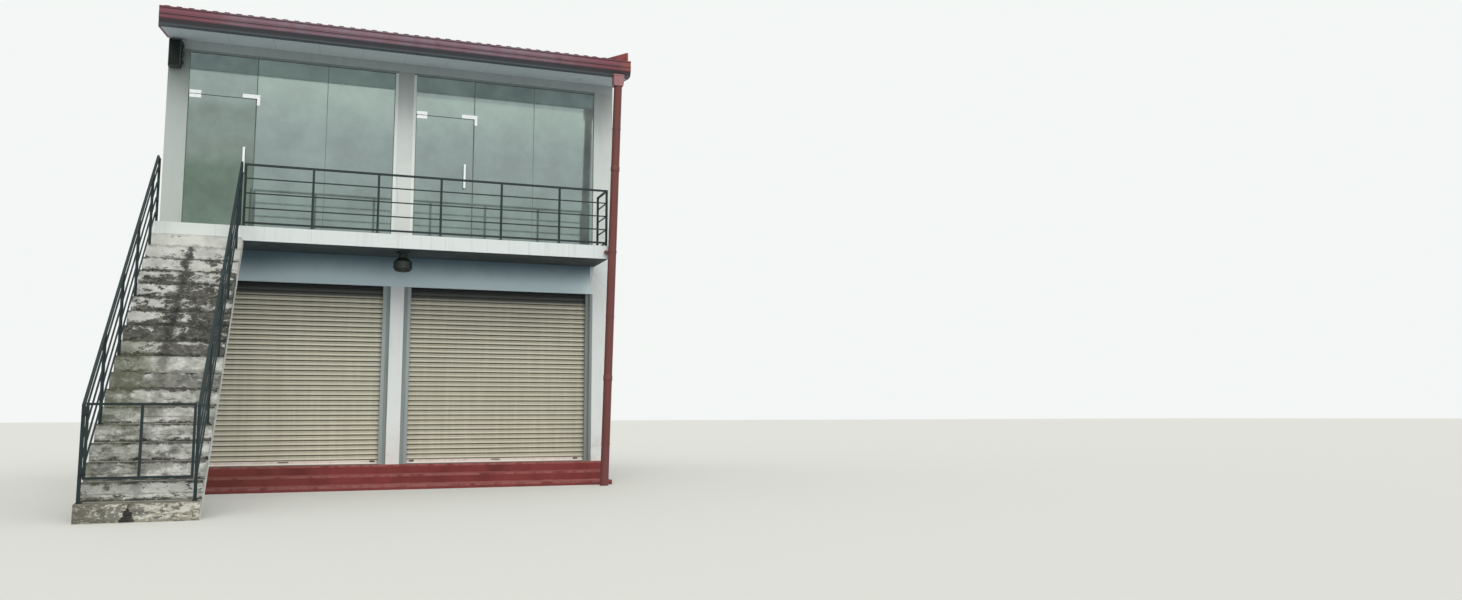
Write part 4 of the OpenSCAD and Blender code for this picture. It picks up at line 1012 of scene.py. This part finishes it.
def headRim(work):
    low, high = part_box("rainwater_head")
    wide = rimLook["wide"]
    z0, z1 = [high.z + step for step in rimLook["heights"]]
    addBox(work, (low.x - wide, low.y - wide, z0), (high.x + wide, low.y + 0.001, z1), rimLook["round"])
    for x in (low.x, high.x):
        addBox(work, (x - wide, low.y - wide, z0), (x + wide, high.y, z1), rimLook["round"])


makePiece("pipe_collars", paintOf("downpipe"), pipeCollars)
makePiece("head_rim", paintOf("rainwater_head"), headRim)
print("stage: rainwater pieces")


# lamps: glass and cage of the slab lamp, fins and glass of the floodlight, ring and lens of the soffit
# lamp; an outline's points are (radius, distance out of the lamp)
lampLook = {"glass": srgb(26, 36, 31), "dust": srgb(90, 98, 88), "bolts": 3, "boltRing": 0.08, "wires": 24,
            "wireRing": 0.062, "wire": 0.0028, "slope": math.atan(0.135 / 0.85), "proud": 0.0121,
            "dome": ((0.104, -0.004), (0.104, 0.006), (0.09, 0.016), (0.06, 0.024), (0.025, 0.028),
                     (0.0, 0.029)),
            "rim": ((0.108, -0.001), (0.111, 0.008), (0.106, 0.01), (0.1035, 0.004), (0.1035, -0.001)),
            "ring": ((0.046, -0.02), (0.048, -0.004), (0.046, 0.002), (0.04, 0.0035), (0.034, 0.001),
                     (0.034, -0.002)),
            "lens": ((0.0335, -0.001), (0.03, 0.002), (0.018, 0.0045), (0.0, 0.0055))}
floodLook = {"fins": 9, "finInset": 0.03, "finHalf": 0.004, "blockInset": 0.08, "blockHalf": 0.026,
             "edge": 0.014, "edgeProud": 0.009, "over": 0.002, "bolt": 0.004, "bracketBolt": 0.005}


def milkGlass(name, colour):
    s = Shader(name)
    dust = s.ramp(s.noise(16.0, 4.0, 0.6), 0.45, 0.75)
    s.relief(s.noise(60.0, 2.0, 0.5), 0.0004, 0.3)
    return s.done(s.blend(dust * 0.15, colour, lampLook["dust"]), 0.35 + 0.3 * dust, gloss=0.25)


def middleAt(low, high, z):
    return Vector(((low.x + high.x) / 2, (low.y + high.y) / 2, z))


def spokes(count, start=0.0):
    # directions that share out a level circle
    for k in range(count):
        angle = 2 * math.pi * k / count + start
        yield Vector((math.cos(angle), math.sin(angle), 0))


def slabLampGlass(work):
    low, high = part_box("slab_lamp")
    addLathe(work, middleAt(low, high, low.z), (0, 0, -1), lampLook["dome"], 48)


def slabLampMetal(work):
    low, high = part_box("slab_lamp")
    addLathe(work, middleAt(low, high, low.z), (0, 0, -1), lampLook["rim"], 48)
    boltMiddle, wireMiddle = middleAt(low, high, high.z - 0.0325), middleAt(low, high, high.z - 0.092)
    for across in spokes(lampLook["bolts"], 0.4):
        addBolt(work, boltMiddle + across * lampLook["boltRing"], (0, 0, -1), 0.006)
    for across in spokes(lampLook["wires"]):
        foot = wireMiddle + across * lampLook["wireRing"]
        addRod(work, foot, foot - Vector((0, 0, 0.05)) + across * 0.056, lampLook["wire"], 6)


def floodlightFins(work):
    low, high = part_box("wall_floodlight")
    front, right = low.y, high.x
    half = floodLook["finHalf"]
    inset = floodLook["finInset"]
    step = (high.z - low.z - 2 * inset) / (floodLook["fins"] - 1)
    for k in range(floodLook["fins"]):
        z = low.z + inset + k * step
        addBox(work, (right - 0.002, front + 0.016, z - half),
               (right + 0.02, high.y - 0.03, z + half), 0.001)
    half = floodLook["blockHalf"]
    for z in (low.z + floodLook["blockInset"], (low.z + high.z) / 2, high.z - floodLook["blockInset"]):
        addBox(work, (right + 0.014, front + 0.018, z - half),
               (right + 0.034, front + 0.07, z + half), 0.006)
    # the frame round the glass, with two bolts in its head and two in its foot
    edge, over, proud = floodLook["edge"], floodLook["over"], front - floodLook["edgeProud"]
    for z in (low.z, high.z - edge):
        addBox(work, (low.x - over, proud, z), (right + over, front + 0.004, z + edge), 0.002)
    for x in (low.x - over, right + over - edge):
        addBox(work, (x, proud, low.z), (x + edge, front + 0.004, high.z), 0.002)
    for x in (low.x + 0.02, low.x + 0.135):
        for z in (low.z + edge / 2, high.z - edge / 2):
            addBolt(work, (x, proud, z), (0, -1, 0), floodLook["bolt"])
    for z in (low.z + 0.12, high.z - 0.12):
        addBolt(work, (low.x + 0.08, front + 0.1, z), (1, 0, 0), floodLook["bracketBolt"])


def floodlightGlass(work):
    low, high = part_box("wall_floodlight")
    addBox(work, (low.x + 0.01, low.y - 0.003, low.z + 0.012),
           (high.x - 0.01, low.y + 0.002, high.z - 0.012), 0.001)


def soffitLampRing(work):
    low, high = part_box("soffit_lamp")
    out = Vector((0, math.sin(lampLook["slope"]), -math.cos(lampLook["slope"])))
    centre = middleAt(low, high, (low.z + high.z) / 2) + out * lampLook["proud"]
    addLathe(work, centre, out, lampLook["ring"], 40)
    addLathe(work, centre, out, lampLook["lens"], 40)


lampGlass = milkGlass("lampGlass", lampLook["glass"])
makePiece("slab_lamp_glass", lampGlass, slabLampGlass)
makePiece("slab_lamp_cage", paintOf("slab_lamp"), slabLampMetal)
makePiece("floodlight_fins", paintOf("wall_floodlight"), floodlightFins)
makePiece("floodlight_glass", lampGlass, floodlightGlass)
makePiece("soffit_lamp_ring", paintOf("soffit_lamp"), soffitLampRing)
print("stage: lamps")


# shutter curtains: the photo's slats are 72 mm high, finer than the 80 mm of the solids; a point of the
# slat's shape is (how far up the slat, what part of the bulge)
slatLook = {"bulge": 0.014, "thick": 0.006,
            "shape": ((0.0, 0.0), (0.03, 0.36), (0.06, 0.62), (0.1, 0.86), (0.15, 0.98), (0.2, 1.0),
                      (0.25, 0.95), (0.31, 0.82), (0.37, 0.62), (0.46, 0.42), (0.9, 0.3), (0.96, 0.08))}


def slatCurtain(node):
    def build(work):
        low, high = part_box(node)
        pitch, thick = shutterLook["pitch"], slatLook["thick"]
        flat = high.y - thick
        count = int((high.z - low.z) / pitch)
        line = [(flat - depth * slatLook["bulge"], low.z + (k + along) * pitch)
                for k in range(count) for along, depth in slatLook["shape"]]
        line += [(flat, low.z + count * pitch), (flat, high.z)]
        edges = [[work.verts.new((x, y + behind, z)) for y, z in line]
                 for x, behind in ((low.x, 0.0), (high.x, 0.0), (high.x, thick), (low.x, thick))]
        for k in range(len(line) - 1):
            for one, other in zip(edges, edges[1:] + edges[:1]):
                work.faces.new((one[k], one[k + 1], other[k + 1], other[k]))
        for k in (0, -1):
            work.faces.new([edge[k] for edge in edges])
    return build


for side in ("left", "right"):
    curtain = makePiece(side + "_curtain", paintOf("shutter_" + side), slatCurtain("shutter_" + side))
    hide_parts("shutter_" + side)


# shutter fittings: a lock near each end of a bottom bar and a grip in its middle
lockLook = {"inset": 0.12, "plate": (0.07, 0.004, 0.026), "overlap": 0.025, "face": 0.022, "down": 0.006,
            "barrel": 0.008, "bolt": 0.0045, "grip": 0.07, "colour": srgb(70, 66, 60)}


def shutterLocks(work):
    low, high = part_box("shutter_bottom_bars")
    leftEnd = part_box("shutter_left")[1].x - lockLook["overlap"]
    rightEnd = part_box("shutter_right")[0].x + lockLook["overlap"]
    wide, deep, tall = lockLook["plate"]
    face, top = high.y - lockLook["face"], high.z - lockLook["down"]
    middle = top - tall / 2
    for x0, x1 in ((low.x, leftEnd), (rightEnd, high.x)):
        for x in (x0 + lockLook["inset"], x1 - lockLook["inset"]):
            addBox(work, (x - wide / 2, face - deep, top - tall), (x + wide / 2, face + 0.001, top), 0.001)
            addRod(work, (x - 0.016, face - deep - 0.004, middle), (x - 0.016, face, middle),
                   lockLook["barrel"], 16)
            addBolt(work, (x + 0.022, face - deep, middle), (0, -1, 0), lockLook["bolt"])
        x, half = (x0 + x1) / 2, lockLook["grip"]
        addBox(work, (x - half, face - 0.012, top - 0.014), (x + half, face + 0.001, top - 0.004), 0.002)


makePiece("shutter_locks", darkShell("lockSteel", lockLook["colour"]), shutterLocks)


# guides: folded lips over the curtain's ends at three guides, and a strip down the right jamb, darker than
# the pier, that also stands for the shadow line between guide and pier
lipLook = {"guide": 0.06, "over": 0.004, "wide": 0.045, "thick": 0.003, "return": 0.028, "ends": 0.002,
           "strip": 0.042, "proud": 0.003, "colour": srgb(162, 173, 172)}


def guideLips(work):
    low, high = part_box("shutter_guides")
    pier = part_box("lower_centre_pier")
    guide, thick = lipLook["guide"], lipLook["thick"]
    foot, top = low.z + lipLook["ends"], high.z - lipLook["ends"]
    for edge, side in ((pier[0].x - guide, -1), (pier[1].x + guide, 1), (low.x + guide, 1)):
        near, far = edge - side * lipLook["over"], edge + side * lipLook["wide"]
        inner = far - side * thick
        addBox(work, (min(near, far), low.y - 0.0005, foot), (max(near, far), low.y + thick, top), 0.001)
        addBox(work, (min(inner, far), low.y + thick - 0.0005, foot),
               (max(inner, far), low.y + lipLook["return"], top), 0.001)


def jambStrip(work):
    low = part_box("lower_right_pier")[0]
    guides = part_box("shutter_guides")
    front, foot, top = low.y - lipLook["proud"], guides[0].z + lipLook["ends"], guides[1].z
    addBox(work, (low.x - 0.002, front, foot), (low.x + lipLook["strip"], low.y + 0.001, top), 0.001)
    addBox(work, (low.x - 0.003, front, foot), (low.x + 0.0002, guides[0].y, top), 0.001)


makePiece("guide_lips", coatedMetal("lipPaint", lipLook["colour"], guideLook["paint"], guideLook["rust"]),
          guideLips)
makePiece("jamb_strip", paintOf("shutter_guides"), jambStrip)


# windows at the rear: sloping sills, glass beads and handles
rearLook = {"wide": 1.2, "high": 1.1, "bead": 0.012, "sill": 0.05, "sillOver": 0.04, "rim": 0.05,
            "bar": 0.025}


def rearWindows():
    # the middle and the foot of each window
    low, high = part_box("rear_window_frames")
    half = rearLook["wide"] / 2
    return [(x, z) for x in (low.x + half, high.x - half) for z in (low.z, high.z - rearLook["high"])]


def rearSills(work):
    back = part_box("rear_window_frames")[1].y
    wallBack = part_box("rear_wall")[1].y
    far = wallBack + rearLook["sill"]
    half = rearLook["wide"] / 2 + rearLook["sillOver"]
    for x, z in rearWindows():
        outline = ((back, z), (back, z - 0.012), (wallBack + 0.001, z - 0.03), (far, z - 0.034),
                   (far, z - 0.006), (far - 0.008, z - 0.001))
        addBar(work, outline, x - half, x + half)


def rearBeads(work):
    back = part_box("rear_window_frames")[1].y
    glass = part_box("rear_window_glass")[1].y
    bead, bar, rim = rearLook["bead"], rearLook["bar"], rearLook["rim"]
    half = rearLook["wide"] / 2 - rim
    for x, z in rearWindows():
        z0, z1 = z + rim, z + rearLook["high"] - rim
        for x0, x1 in ((x - half, x - bar), (x + bar, x + half)):
            for left, foot, right, top in ((x0, z0, x1, z0 + bead), (x0, z1 - bead, x1, z1),
                                           (x0, z0, x0 + bead, z1), (x1 - bead, z0, x1, z1)):
                addBox(work, (left, glass - 0.001, foot), (right, glass + 0.012, top), 0.002)
        # the handle: plate, spindle and lever
        addBox(work, (x - 0.009, back - 0.001, z + 0.5), (x + 0.009, back + 0.01, z + 0.62), 0.002)
        addRod(work, (x, back + 0.008, z + 0.56), (x, back + 0.026, z + 0.56), 0.008, 16)
        addBox(work, (x - 0.007, back + 0.022, z + 0.45), (x + 0.007, back + 0.034, z + 0.57), 0.003)


makePiece("rear_sills", wallPaint("sillPaint", sideLook["paint"], sideLook["grime"]), rearSills)
makePiece("rear_beads", paintOf("rear_window_frames"), rearBeads)
print("stage: shutter fittings and rear windows")


# worn steps: every nosing is rounded and chipped, always inside the cast step
wearLook = {"columns": 96, "round": 0.006, "chip": 0.02, "rough": 0.0016, "arc": 6, "riser": 7, "tread": 5,
            "backGap": 0.006, "footGap": 0.0045, "under": 0.012}


def wornStep(work, low, high, k):
    riser = floorLevel / flight["risers"]
    nose = flight["head"] - (flight["risers"] - k) * flight["going"]
    back = nose + flight["going"] - wearLook["backGap"]
    top = k * riser
    foot = top - riser + wearLook["footGap"]
    under = wearLook["under"]
    rings = []
    for column in range(wearLook["columns"] + 1):
        x = low + (high - low) * column / wearLook["columns"]
        chip = noise.fractal(Vector((x * 9.0, k * 3.7, 0.0)), 0.8, 2.2, 5)
        deep = wearLook["round"] + wearLook["chip"] * max(0.0, chip - 0.08)
        # points up the riser, round the nosing and along the tread, each with the way in from there
        points = []
        for step in range(wearLook["riser"]):
            points.append((nose, foot + (top - deep - foot) * step / wearLook["riser"], 1.0, 0.0))
        for step in range(wearLook["arc"] + 1):
            angle = math.pi / 2 * step / wearLook["arc"]
            points.append((nose + deep * (1 - math.cos(angle)), top - deep * (1 - math.sin(angle)),
                           math.cos(angle), -math.sin(angle)))
        for step in range(1, wearLook["tread"] + 1):
            points.append((nose + deep + (back - nose - deep) * step / wearLook["tread"], top, 0.0, -1.0))
        ring = []
        for y, z, inY, inZ in points:
            fine = noise.fractal(Vector((x * 30.0, y * 30.0, z * 30.0)), 0.7, 2.1, 3) * 0.5 + 0.5
            depth = wearLook["rough"] * min(1.0, max(0.0, fine))
            ring.append(work.verts.new((x, y + inY * depth, z + inZ * depth)))
        ring.append(work.verts.new((x, back, top - under)))
        ring.append(work.verts.new((x, nose + under, foot + under * riser / flight["going"])))
        rings.append(ring)
    count = len(rings[0])
    for one, other in zip(rings, rings[1:]):
        for j in range(count):
            work.faces.new((one[j], one[(j + 1) % count], other[(j + 1) % count], other[j]))
    work.faces.new(rings[0])
    work.faces.new(rings[-1])


def wornSteps(work):
    low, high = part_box("stair_steps")
    for k in range(1, flight["risers"]):
        wornStep(work, low.x, high.x, k)


wornFlight = makePiece("worn_steps", paintOf("stair_steps"), wornSteps, smooth=50)
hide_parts("stair_steps")
print("stage: worn steps")


# floor, backdrop and light: the floor is pale to the eye and throws little light back up
stageLook = {"floor": srgb(206, 205, 200), "bounce": srgb(133, 139, 147), "size": 300.0}
lightLook = {"sky": srgb(244, 247, 245), "sun": 1.3, "angle": 48, "colour": (1.0, 0.985, 0.95),
             "turn": (42, 0, 2)}
scene = bpy.context.scene


def makeFloor():
    mesh = bpy.data.meshes.new("stageFloor")
    half = stageLook["size"]
    corners = [(-half, -half, 0), (half, -half, 0), (half, half, 0), (-half, half, 0)]
    mesh.from_pydata(corners, [], [(0, 1, 2, 3)])
    floor = bpy.data.objects.new("stageFloor", mesh)
    scene.collection.objects.link(floor)
    s = Shader("stageFloor")
    seen = s.most(*[s.node("ShaderNodeLightPath", {}, {}, ray)
                    for ray in ("Is Camera Ray", "Is Glossy Ray", "Is Transmission Ray")])
    colour = s.blend(seen, stageLook["bounce"], stageLook["floor"])
    mesh.materials.append(s.done(colour, 0.9, gloss=0.1))


def makeLight():
    world = bpy.data.worlds.new("world")
    scene.world = world
    world.use_nodes = True
    sky = world.node_tree.nodes["Background"]
    sky.inputs["Color"].default_value = lightLook["sky"]
    sky.inputs["Strength"].default_value = 1.0
    sun = bpy.data.lights.new("sun", "SUN")
    sun.energy = lightLook["sun"]
    sun.angle = math.radians(lightLook["angle"])
    sun.color = lightLook["colour"]
    sunObject = bpy.data.objects.new("sun", sun)
    sunObject.rotation_euler = [math.radians(degrees) for degrees in lightLook["turn"]]
    scene.collection.objects.link(sunObject)


makeFloor()
makeLight()
scene.view_settings.view_transform = "Standard"

# camera found from the photo: yaw, pitch and roll in degrees, and the lens in mm on a sensor 36 mm wide
cameraLook = {"place": (-0.9144, -16.5035, 1.0073), "yaw": 20.7828, "pitch": 6.285, "roll": -0.1461,
              "lens": 36 * 1060.3 / 1462, "sensor": 36, "reach": 500}


def makeCamera():
    yaw = math.radians(cameraLook["yaw"])
    pitch = math.radians(cameraLook["pitch"])
    roll = math.radians(cameraLook["roll"])
    forward = Vector((math.sin(yaw) * math.cos(pitch), math.cos(yaw) * math.cos(pitch), math.sin(pitch)))
    right = Vector((math.cos(yaw), -math.sin(yaw), 0))
    up = right.cross(forward)
    sideways = math.cos(roll) * right + math.sin(roll) * up
    upward = -math.sin(roll) * right + math.cos(roll) * up
    data = bpy.data.cameras.new("camera")
    data.lens = cameraLook["lens"]
    data.sensor_width = cameraLook["sensor"]
    data.clip_end = cameraLook["reach"]
    camera = bpy.data.objects.new("camera", data)
    turned = Matrix((sideways, upward, -forward)).transposed().to_4x4()
    camera.matrix_world = Matrix.Translation(cameraLook["place"]) @ turned
    scene.collection.objects.link(camera)
    scene.camera = camera


makeCamera()
print("stage: light and camera")
